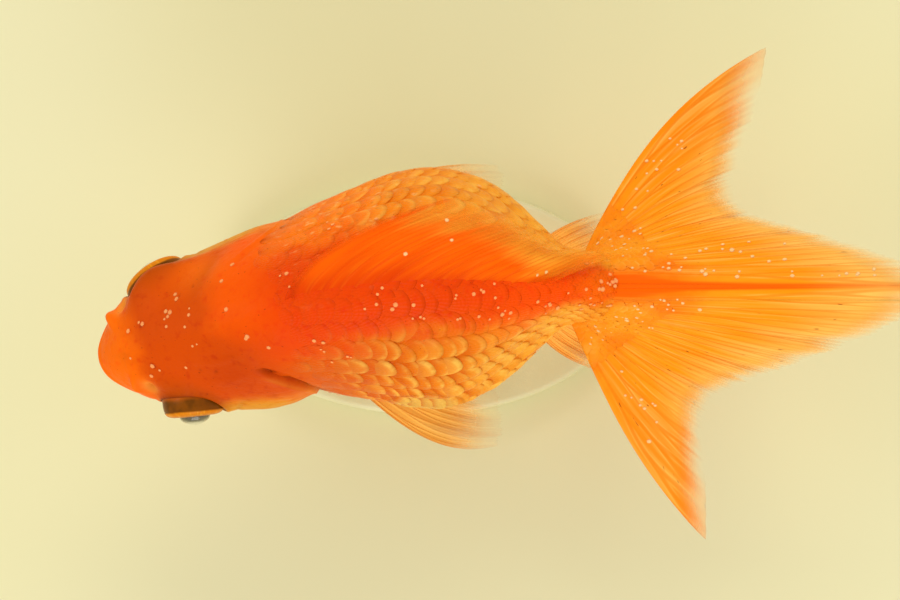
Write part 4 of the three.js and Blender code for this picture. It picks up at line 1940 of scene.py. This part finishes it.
@dataclass
class FinSheet:
    """Closed thin sheet with branching rays over a fin's middle."""

    middle: SheetPoint
    rays: int
    rows: int
    columns: int
    branches: tuple[float, float] = (0.3, 0.62)
    membrane: float = 0.09
    ray_height: float = 0.11
    root_height: float = 0.35
    root_reach: float = 0.12
    start: float = -0.06
    edge_rays: tuple[float, float] = (0.15, 0.15)
    fray: float = 0.02
    seed: int = 1

    def _ridge(self, u: Array, v: Array) -> Array:
        """How near a ray each place is.

        Args:
            u: Places from root to margin.
            v: Places across the fin.

        Returns:
            1 on the crest of a ray and 0 midway between two.
        """
        phase = v * self.rays
        off = np.abs(phase - np.floor(phase) - 0.5)
        first, second = self.branches
        off = np.abs(off - 0.25 * smooth(u, first, first + 0.3))
        off = np.abs(off - 0.125 * smooth(u, second, second + 0.25))
        return bell(off, lerp(0.13, 0.065, smooth(u, 0.0, 0.9)))

    def _half(self, u: Array, v: Array) -> Array:
        """Half the sheet's thickness.

        Args:
            u: Places from root to margin.
            v: Places across the fin.

        Returns:
            The half thickness at each place.
        """
        front, rear = self.edge_rays
        edges = (front * bell(v, 0.02) + rear * bell(1 - v, 0.02)) * (1 - 0.5 * u)
        half = self.membrane + self.ray_height * self._ridge(u, v) * (1 - 0.6 * u) + edges
        half = half + self.root_height * bell(u, self.root_reach)
        half = half * (0.25 + 0.75 * smooth(1 - u, 0.0, 0.03))
        return half * smooth(u, self.start - 0.05, self.start + 0.05)

    def seats(self, u: Array, v: Array, face: int = 1) -> tuple[Array, Array]:
        """Seats on one of the fin's faces.

        Args:
            u: Places from root to margin.
            v: Places across the fin.
            face: 1 for the upper face and -1 for the lower one.

        Returns:
            The points and the unit normals.
        """
        nudge = 0.004
        middle = self.middle(u, v)
        along = self.middle(u + nudge, v) - middle
        across = self.middle(u, v + nudge) - middle
        normals = unit(np.cross(along, across))
        normals = normals * np.sign(normals[..., 2:]) * face
        return middle + normals * self._half(u, v)[..., None], normals

    def build(self) -> Draft:
        """The fin's mesh.

        Returns:
            The mesh, with the mark ray.
        """
        u, v = np.meshgrid(
            np.linspace(self.start, 1, self.rows), np.linspace(0, 1, self.columns), indexing="ij"
        )
        rng = np.random.default_rng(self.seed)
        knots = rng.uniform(0, 1, 48)
        worn = np.interp(v[0] * 47, np.arange(48), knots)
        scallop = 0.5 - 0.5 * self._ridge(np.ones_like(v[0]), v[0])
        reach = 1 - self.fray * (worn + scallop) * (1 - 0.8 * smooth(v[0], 0.86, 0.97))
        sheet = self.middle(u * reach, v)
        along = np.gradient(sheet, axis=0)
        across = np.gradient(sheet, axis=1)
        normals = unit(np.cross(along, across))
        ridge = self._ridge(u, v)
        half = self._half(u, v)
        offset = normals * half[..., None]
        points = np.concatenate([(sheet + offset).reshape(-1, 3), (sheet - offset).reshape(-1, 3)])
        ray = stacked(np.maximum(u, 0), v, ridge).reshape(-1, 3)
        marks = {"ray": np.concatenate([ray, ray])}
        return Draft(points, shell_faces(self.rows, self.columns), marks)


@dataclass
class RootScales:
    """Small overlapping scales over the fleshy root of one half of the tail, on both faces."""

    sheet: FinSheet
    side: Side
    rows: int = 8
    columns: int = 12
    first: float = -1.2
    last: float = 3.6
    edges: float = 1.6
    crest: float = 0.09
    half_length: float = 0.8
    half_width: float = 0.06
    lift: float = 0.045
    dome: float = 0.045
    thickness: float = 0.06
    above_fin: float = 0.01
    disc: ScaleDisc = ScaleDisc(7)
    unwrap_from: float = 0.945
    unwrap_length: float = 0.05

    def build(self) -> Draft:
        """Mesh of the scales.

        Returns:
            The mesh, with the marks place and scale and its patches.
        """
        rng = np.random.default_rng(13)
        i, j = np.meshgrid(np.arange(self.rows), np.arange(self.columns), indexing="ij")
        across = ((j + 0.3 + 0.5 * (i % 2)) / (self.columns + 0.2)).ravel()
        across = lerp(self.crest, 1, across)
        end = self.last + self.edges * np.abs(2 * across - 1) ** 2
        share = i.ravel() / (self.rows - 1)
        out = lerp(self.first, end, share) + rng.normal(0, 0.08, across.shape)
        ends = np.array([0.0, 1.0])[:, None]
        root, margin = self.sheet.middle(ends + 0 * across, across + 0 * ends)
        length = np.linalg.norm(margin - root, axis=-1)
        tone = rng.uniform(0, 1, across.shape)
        return Draft.joined(
            [self._face(out, across, length, share, tone, face) for face in (1, -1)]
        )

    def _face(
        self, out: Array, across: Array, length: Array, share: Array, tone: Array, face: int
    ) -> Draft:
        """Mesh of the scales of one face.

        Args:
            out: Distances of the scales' middles from the root.
            across: Their places across the fin.
            length: Lengths of the rays under them.
            share: Shares of the way from the first row to the last.
            tone: Their tones, 0 to 1.
            face: 1 for the upper face and -1 for the lower one.

        Returns:
            The mesh.
        """
        disc = self.disc
        u = (out[:, None] + disc.along * self.half_length) / length[:, None]
        v = np.clip(across[:, None] + disc.across * self.half_width, 0.004, 0.996)
        points, normals = self.sheet.seats(u, v, face)
        shape = self.lift * disc.rise**1.3 + self.dome * disc.swell * (0.5 + tone)[:, None]
        fade = 1 - 0.9 * smooth(share, 0.4, 1.0)[:, None]
        over = points + normals * (shape * fade + self.above_fin)[..., None]
        thick = self.thickness * smooth(disc.away, 1.0, 0.8)[None, :, None]
        where = stacked(out[:, None], v, np.maximum(u, 0))
        quarter = 0.25 * across if face < 0 else 0.5 - 0.25 * across
        girth = quarter if self.side is Side.RIGHT else 1 - quarter
        root = stacked(self.unwrap_from + self.unwrap_length * share, girth)
        return disc.mesh(over, over - normals * thick, where, tone, root)


# ---- eyes and spots


@dataclass
class Eye:
    """One eye: the ball with its iris and pupil, and the clear bulge in front of them.

    Both outlines are keys of (way out along the eye's axis, radius).
    """

    seat: EyeSeat
    snout_x: float
    front: tuple[tuple[float, float], ...] = (
        (1.20, 3.66), (1.80, 3.70), (2.50, 3.69), (2.90, 3.65), (3.10, 3.58), (3.25, 3.58),
        (3.48, 3.48), (3.68, 3.28), (3.82, 3.00), (3.91, 2.64), (3.94, 2.20), (3.91, 1.76),
        (4.02, 1.66), (4.18, 1.54), (4.34, 1.30), (4.48, 0.98), (4.57, 0.62), (4.60, 0.3),
        (4.60, 0.04),
    )
    columns: int = 96
    bulge_rows: int = 14
    bulge_radius: float = 1.85
    bulge_from: float = 3.92
    bulge: float = 1.12
    bulge_wall: float = 0.12

    def _lathe(self, keys: Array) -> tuple[Array, Array]:
        """Turns an outline round the eye's axis.

        Args:
            keys: Ways out and radii.

        Returns:
            The points, and the radius, the angle and the way out of each.
        """
        out, back, up = self.seat.axes()
        angle = np.linspace(0, ROUND, self.columns, endpoint=False)
        way, radius = (values[:, None] for values in keys.T)
        rim = np.cos(angle)[None, :, None] * back + np.sin(angle)[None, :, None] * up
        points = self.seat.centre(self.snout_x)
        points = points + way[..., None] * out + radius[..., None] * rim
        spread = stacked(radius, angle[None, :], way)
        return points.reshape(-1, 3), spread.reshape(-1, 3)

    def ball(self) -> Draft:
        """Mesh of the ball.

        Returns:
            The mesh, with the mark eye.
        """
        start = math.asin(self.front[0][0] / self.seat.ball)
        bend = np.linspace(-math.pi / 2 + 0.01, start, 26)[:-1]
        back = stacked(np.sin(bend), np.cos(bend)) * self.seat.ball
        keys = np.concatenate([back, np.array(self.front)])
        fine = np.linspace(0, len(keys) - 1, 2 * len(keys))
        keys = stacked(*(np.interp(fine, np.arange(len(keys)), k) for k in keys.T))
        points, spread = self._lathe(keys)
        spread = spread + [0.0, 0.0, self.seat.rim]
        return Draft(points, tube_faces(len(keys), self.columns), {"eye": spread})

    def cornea(self) -> Draft:
        """Mesh of the clear bulge.

        Returns:
            The mesh, with the mark eye.
        """
        bend = np.linspace(0, 1, self.bulge_rows) * math.pi / 2
        radius = self.bulge_radius * np.cos(bend) + 0.03
        way = self.bulge_from + self.bulge * np.sin(bend) ** 1.2
        over = stacked(way, radius)
        under = stacked(way - self.bulge_wall, radius * 0.97)[::-1]
        points, spread = self._lathe(np.concatenate([over, under]))
        rows = 2 * self.bulge_rows
        walls = grid_faces(rows, self.columns, True)
        rim = grid_faces(2, self.columns, True)
        joint = np.where(rim < self.columns, rim, rim + (rows - 2) * self.columns)[:, ::-1]
        return Draft(points, np.concatenate([walls, joint]), {"eye": spread})


@dataclass(frozen=True)
class Cluster:
    """Group of white spots on the body: its middle, the spread both ways, and how many."""

    at: float
    aside: float
    long: float
    wide: float
    count: int


@dataclass(frozen=True)
class FinCluster:
    """Group of white spots on a fin: the stretches out and across that it fills."""

    fin: str
    out: tuple[float, float]
    across: tuple[float, float]
    count: int


@dataclass
class Spots:
    """Small raised white spots over the head, the back and the tail."""

    wrap: BodyWrap
    depth: CoatDepth
    clusters: tuple[Cluster, ...] = tuple(Cluster(*group) for group in (
        (6.4, 2.8, 0.3, 0.2, 2), (5.1, 2.5, 0.4, 0.2, 2), (4.0, -0.5, 0.2, 0.1, 1),
        (5.8, -3.0, 0.8, 1.4, 3), (11.4, 5.6, 0.4, 1.0, 3), (10.1, 3.2, 0.4, 0.6, 4),
        (9.3, 1.5, 0.1, 0.1, 1), (12.0, 1.2, 0.8, 1.6, 3), (12.4, -1.8, 1.0, 0.6, 2),
        (9.8, -3.5, 0.3, 0.3, 1), (17.0, 4.8, 0.2, 0.2, 1), (19.0, 6.2, 0.4, 0.2, 1),
        (16.7, 1.4, 0.1, 0.1, 1), (17.8, -2.8, 0.4, 1.0, 2), (20.2, -3.8, 0.2, 0.2, 1),
        (15.5, -7.0, 0.6, 0.3, 1), (24.4, 2.2, 0.1, 0.1, 1), (23.6, 3.8, 0.8, 0.3, 2),
        (26.4, -5.4, 0.8, 1.0, 5), (28.4, -7.2, 0.8, 0.4, 3), (34.2, 0.2, 0.3, 0.4, 2),
        (34.0, -1.8, 1.2, 0.3, 3), (36.8, -1.8, 0.6, 0.2, 2), (38.9, 0.2, 0.1, 0.1, 1),
        (38.6, -3.4, 1.4, 0.2, 3), (42.8, -1.0, 0.3, 0.4, 2), (46.2, -0.8, 1.0, 0.5, 5),
        (44.4, -3.8, 2.0, 0.2, 5), (48.2, -2.8, 1.2, 0.3, 4), (50.0, 1.2, 1.0, 0.2, 2),
        (55.0, -2.4, 2.6, 0.5, 8), (57.0, -0.6, 1.6, 0.4, 5), (61.5, 0.3, 1.2, 0.8, 7),
        (60.0, -2.2, 2.0, 0.6, 8), (61.0, 2.4, 2.0, 0.7, 6), (29.2, 8.6, 0.8, 0.6, 3),
        (35.0, 8.2, 0.8, 0.8, 2),
    ))
    fin_clusters: tuple[FinCluster, ...] = tuple(FinCluster(*group) for group in (
        ("tail_right", (0.0, 0.28), (0.05, 0.6), 16), ("tail_right", (0.02, 0.3), (0.6, 0.97), 12),
        ("tail_left", (0.0, 0.22), (0.02, 0.4), 14), ("tail_left", (0.0, 0.16), (0.4, 0.97), 8),
        ("tail_right", (0.0, 0.3), (0.01, 0.12), 9), ("tail_left", (0.0, 0.3), (0.01, 0.12), 7),
        ("tail_right", (0.15, 0.98), (0.02, 0.06), 16), ("tail_right", (0.35, 0.8), (0.1, 0.26), 12),
        ("tail_right", (0.3, 0.6), (0.86, 0.97), 12), ("tail_left", (0.3, 0.66), (0.88, 0.97), 10),
        ("dorsal", (0.3, 0.9), (0.05, 0.95), 5),
    ))
    scattered: int = 30
    scattered_span: tuple[float, float] = (6, 60)
    flanks: tuple[float, float] = (0.1, 0.68)
    flank_reach: float = 0.22
    radius: tuple[float, float] = (0.16, 0.35)
    flatness: float = 0.32
    spread: float = 0.9
    rings: int = 6
    columns: int = 12

    def build(self, fins: dict[str, "FinSheet"]) -> Draft:
        """Mesh of the spots.

        Args:
            fins: The fins that bear spots, by the name that the clusters use.

        Returns:
            The mesh.
        """
        rng = np.random.default_rng(11)
        at, share = [], []
        for cluster in self.clusters:
            places = cluster.at + rng.normal(0, cluster.long * self.spread, cluster.count)
            asides = cluster.aside + rng.normal(0, cluster.wide * self.spread, cluster.count)
            at.append(places)
            share.append(self.wrap.above(places, asides))
        at.append(rng.uniform(*self.scattered_span, self.scattered))
        flank = np.where(rng.uniform(0, 1, self.scattered) < 0.5, *self.flanks)
        share.append(flank + rng.uniform(0, self.flank_reach, self.scattered))
        seats = [self._on_body(np.concatenate(at), np.concatenate(share))]
        for cluster in self.fin_clusters:
            out = rng.uniform(*cluster.out, cluster.count)
            across = rng.uniform(*cluster.across, cluster.count)
            seats.append(fins[cluster.fin].seats(out, across))
        points, normals = (np.concatenate(parts) for parts in zip(*seats))
        on_fin = np.ones(len(points))
        on_fin[: len(seats[0][0])] = 0
        return self._domes(points, normals, rng.uniform(*self.radius, len(points)), on_fin)

    def _on_body(self, at: Array, share: Array) -> tuple[Array, Array]:
        """Seats on the skin or the scales.

        Args:
            at: Distances behind the snout.
            share: Shares of the girth.

        Returns:
            The points and the unit normals.
        """
        turn = 1 - 2 * share
        points, normals = self.wrap.locate(at, share)
        relief = self.depth.relief(at, turn) * smooth(at, 21, 24)
        nape = 0.16 * smooth(at, 13.6, 15.4) * (1 - smooth(at, 19, 26))
        lift = 0.55 * relief - self.depth.inset(at, turn) + nape + 0.05 * smooth(at, 20, 24)
        return points + normals * lift[:, None], normals

    def _domes(self, points: Array, normals: Array, radii: Array, on_fin: Array) -> Draft:
        """Mesh of domes.

        Args:
            points: Their seats.
            normals: The ways that they face.
            radii: Their radii.
            on_fin: 1 for each that sits on a fin and 0 for the others.

        Returns:
            The mesh.
        """
        radius = radii[:, None, None, None]
        across = unit(np.cross(normals, np.array([0.0, 1.0, 0.3])))
        beside = np.cross(normals, across)
        angle = np.linspace(0, ROUND, self.columns, endpoint=False)[None, None, :, None]
        rise = np.linspace(-0.35, math.pi / 2 - 0.08, self.rings)[None, :, None, None]
        rim = across[:, None, None] * np.cos(angle) + beside[:, None, None] * np.sin(angle)
        dome = rim * np.cos(rise) + normals[:, None, None] * np.sin(rise) * self.flatness
        made = points[:, None, None] + radius * dome
        fin = on_fin[:, None, None, None]
        marked = stacked(np.sin(rise) + 0 * angle, fin, 0.0)
        starts = np.arange(len(points))[:, None, None] * self.rings * self.columns
        faces = (tube_faces(self.rings, self.columns)[None] + starts).reshape(-1, 4)
        return Draft(made.reshape(-1, 3), faces, {"spot": marked.reshape(-1, 3)})


# ---- stand, studio


def oval_rings(long: Array, wide: Array, level: Array, columns: int) -> Array:
    """Points of level ovals.

    Args:
        long: Half the length of each.
        wide: Half its width.
        level: Its height.
        columns: Points in each.

    Returns:
        One point a row.
    """
    angle = np.linspace(0, ROUND, columns, endpoint=False)
    x = long[:, None] * np.cos(angle)
    y = wide[:, None] * np.sin(angle)
    return stacked(x, y, level[:, None]).reshape(-1, 3)


@dataclass
class Stand:
    """Oval base and two rods under the belly."""

    bevel: float = 0.8
    bevel_rings: int = 7
    top_rings: tuple[float, ...] = (2.0, 5.0, 10.0, 14.0)
    columns: int = 128
    rod_rings: int = 24
    rod_columns: int = 48
    into_belly: float = 1.2

    def base(self) -> Draft:
        """Mesh of the base, with its rounded edges.

        Returns:
            The mesh.
        """
        low, high = corners_of("stand_base")
        middle = (low + high) / 2
        half = (high - low) / 2
        bend = np.linspace(0, math.pi / 2, self.bevel_rings)
        edge = self.bevel * (1 - np.sin(bend))
        height = self.bevel * (1 - np.cos(bend))
        inset = np.concatenate([edge, edge[::-1], self.top_rings])
        tall = high[2] - low[2]
        level = np.concatenate([height, tall - height[::-1], [tall] * len(self.top_rings)])
        points = oval_rings(half[0] - inset, half[1] - inset, level, self.columns)
        points = points + [middle[0], middle[1], low[2]]
        return Draft(points, tube_faces(len(inset), self.columns))

    def rod(self, node: str) -> Draft:
        """Mesh of one rod, which goes on into the belly a little.

        Args:
            node: The rod's node in the frame.

        Returns:
            The mesh.
        """
        low, high = corners_of(node)
        middle = (low + high) / 2
        radius = np.full(self.rod_rings, (high[0] - low[0]) / 2)
        level = np.linspace(low[2], high[2] + self.into_belly, self.rod_rings)
        points = oval_rings(radius, radius, level, self.rod_columns)
        points = points + [middle[0], middle[1], 0.0]
        return Draft(points, tube_faces(self.rod_rings, self.rod_columns))


@dataclass(frozen=True)
class SoftLight:
    """Square lamp turned towards the fish, with its size in metres and its power in watts."""

    name: str
    place: tuple[float, float, float]
    size: float
    power: float


@dataclass
class Studio:
    """Pale floor, soft lights and the camera straight over the fish."""

    target: tuple[float, float, float] = (0.0, 0.0, 0.036)
    camera_place: tuple[float, float, float] = (0.0036, 0.0, 0.386)
    focal_length: float = 116.67
    ambient: float = 0.66
    lights: tuple[SoftLight, ...] = (
        SoftLight("window_light", (0.05, 0.42, 0.42), 0.30, 1.1),
        SoftLight("fill_light", (0.05, -0.46, 0.28), 0.40, 1.3),
        SoftLight("nose_light", (-0.42, 0.05, 0.30), 0.25, 0.3),
    )

    def build(self) -> None:
        """Makes the floor, the lights, the sky and the camera."""
        self._floor()
        self._lights()
        self._sky()
        self._camera()

    def _floor(self) -> None:
        """Lays the floor."""
        mesh = bpy.data.meshes.new("floor")
        corners = [(-1, -1, 0), (1, -1, 0), (1, 1, 0), (-1, 1, 0)]
        mesh.from_pydata(corners, [], [(0, 1, 2, 3)])
        mesh.materials.append(FloorFinish().material())
        linked("floor", mesh)

    def _lights(self) -> None:
        """Hangs the lights."""
        for light in self.lights:
            data = bpy.data.lights.new(light.name, "AREA")
            data.size = light.size
            data.energy = light.power
            lamp = linked(light.name, data)
            lamp.location = light.place
            way = Vector(self.target) - Vector(light.place)
            lamp.rotation_euler = way.to_track_quat("-Z", "Y").to_euler()

    def _sky(self) -> None:
        """Sets the even light from all round."""
        world = bpy.data.worlds.new("studio")
        world.use_nodes = True
        background = world.node_tree.nodes["Background"]
        background.inputs["Color"].default_value = (1.0, 0.99, 0.96, 1.0)
        background.inputs["Strength"].default_value = self.ambient
        bpy.context.scene.world = world

    def _camera(self) -> None:
        """Sets up the camera."""
        data = bpy.data.cameras.new("camera")
        data.lens = self.focal_length
        data.sensor_width = 36
        data.clip_start = 0.01
        data.clip_end = 20
        camera = linked("camera", data)
        camera.location = self.camera_place
        bpy.context.scene.camera = camera


# ---- the fish


@dataclass
class Goldfish:
    """The whole fish, piece by piece."""

    workshop: Workshop
    form: BodyForm
    flesh: tuple[str, ...] = (
        "head", "lower_jaw", "trunk", "tail_stem", "gill_cover_right", "gill_cover_left"
    )
    seats: tuple[EyeSeat, ...] = (
        EyeSeat(Side.RIGHT, at=10.2, out=4.8, turn=20, pitch=-20, cover=2.15, rim=0.3),
        EyeSeat(Side.LEFT, at=9.6, out=5.75, turn=12, pitch=0, cover=0.45),
    )
    covers: tuple[GillCover, ...] = (
        GillCover(Side.RIGHT, flare=0.25, gape=0.0, cheek=0.0),
        GillCover(Side.LEFT, flare=0.8, gape=0.9, cheek=1.3),
    )
    tails: tuple[TailForm, ...] = (
        TailForm(Side.RIGHT, 60.5, 36.4, 16.0, lobe=34.3, lower=2.1, bow=0.193, lead_x=20.8),
        TailForm(Side.LEFT, 73.3, 47.0, 17.1, lobe=32.8, lower=3.7, bow=0.118, lead_x=19.0),
    )

    def build(self) -> None:
        """Makes every piece of the fish."""
        wrap = BodyWrap(self.form)
        depth = CoatDepth()
        skin = Skin(wrap, depth, self.seats, self.covers).build()
        self.workshop.piece("skin", skin, SkinFinish(), self.flesh)
        for name, draft in Coat(wrap, depth, self.covers).build().items():
            self.workshop.piece(name, draft, ScaleFinish())
        spotted = self._fins()
        for seat in self.seats:
            self._eye(seat)
        self.workshop.piece("white_spots", Spots(wrap, depth).build(spotted), SpotFinish())

    def _fins(self) -> dict[str, FinSheet]:
        """Makes the fins.

        Returns:
            The fins that bear spots, by name.
        """
        dorsal = FinSheet(
            DorsalForm(self.form), 17, 90, 380, root_height=0.0, edge_rays=(0.16, 0.08), seed=3
        )
        self.workshop.piece("dorsal_fin_rays", dorsal.build(), FinFinish(), ("dorsal_fin",))
        spotted = {"dorsal": dorsal}
        for tail in self.tails:
            word = tail.side.word
            sheet = FinSheet(
                tail, 17, 116, 400, root_height=0.55, root_reach=0.2, start=-0.1,
                edge_rays=(0.15, 0.3), fray=0.035, seed=5,
            )
            halves = (f"tail_fin_upper_{word}", f"tail_fin_lower_{word}")
            self.workshop.piece(f"tail_half_{word}", sheet.build(), TailFinish(), halves)
            scales = RootScales(sheet, tail.side).build()
            self.workshop.piece(f"tail_scales_{word}", scales, TailScaleFinish())
            spotted[f"tail_{word}"] = sheet
            self._paired(tail.side)
        return spotted

    def _paired(self, side: Side) -> None:
        """Makes the paired fins under one side.

        Args:
            side: The side.
        """
        shut = side is Side.RIGHT
        fans = {
            "pelvic_fin": FanForm(
                side,
                ((-13.0, 6.6, -13.5), (-3.0, 23.0, -17.5), (10.1, 20.2, -21.0)),
                ((-7.0, 6.8, -15.4), (2.0, 8.5, -18.6), (8.0, 9.6, -20.4)),
                1.6, 0.64 if shut else 1.0,
            ),
            "pectoral_fin": FanForm(
                side,
                ((-14.0, 9.5, -7.2), (-10.5, 12.9, -8.2), (-3.4, 13.3, -10.6)),
                ((-12.8, 8.5, -10.9), (-9.8, 10.7, -12.2), (-6.8, 10.8, -13.8)),
                1.2, 1.0,
            ),
            "anal_fin": FanForm(
                side,
                ((12.6, 1.9, -12.6), (14.6, 8.6, -13.8), (23.4, 10.9, -16.2)),
                ((17.2, 1.6, -8.4), (20.4, 3.4, -12.2), (24.8, 4.4, -16.8)),
                1.2, 0.84 if shut else 1.0,
            ),
        }
        for name, fan in fans.items():
            sheet = FinSheet(fan, 9, 70, 200, membrane=0.08, start=-0.18, fray=0.025, seed=9)
            node = f"{name}_{side.word}"
            piece = f"{name}_rays_{side.word}"
            self.workshop.piece(piece, sheet.build(), PaleFinFinish(), (node,))

    def _eye(self, seat: EyeSeat) -> None:
        """Makes one eye.

        Args:
            seat: Where it sits.
        """
        eye = Eye(seat, self.form.snout_x)
        word = seat.side.word
        self.workshop.piece(f"eyeball_{word}", eye.ball(), EyeFinish(), (f"eye_{word}",))
        self.workshop.piece(f"cornea_{word}", eye.cornea(), CorneaFinish())


def main() -> None:
    """Builds the fish, its stand and the studio."""
    logging.basicConfig(level=logging.INFO, format="%(message)s")
    eye_low, eye_high = corners_of("eye_left")
    stem_end = corners_of("tail_stem")[1][0]
    posture = Posture(axis_height=float(eye_low[2] + eye_high[2]) / 2 - EyeSeat.height)
    form = BodyForm(snout_x=round(stem_end - BodyForm.length, 1))
    workshop = Workshop(posture)
    workshop.log.info("axis %.3f, snout %.3f", posture.axis_height, form.snout_x)
    Goldfish(workshop, form).build()
    stand = Stand()
    resin = ResinFinish()
    workshop.piece("display_base", stand.base(), resin, ("stand_base",), posed=False)
    for word in ("front", "rear"):
        node = f"stand_rod_{word}"
        workshop.piece(f"display_rod_{word}", stand.rod(node), resin, (node,), posed=False)
    Studio().build()
    bpy.context.scene.view_settings.view_transform = "Standard"


if __name__ == "__main__":
    main()
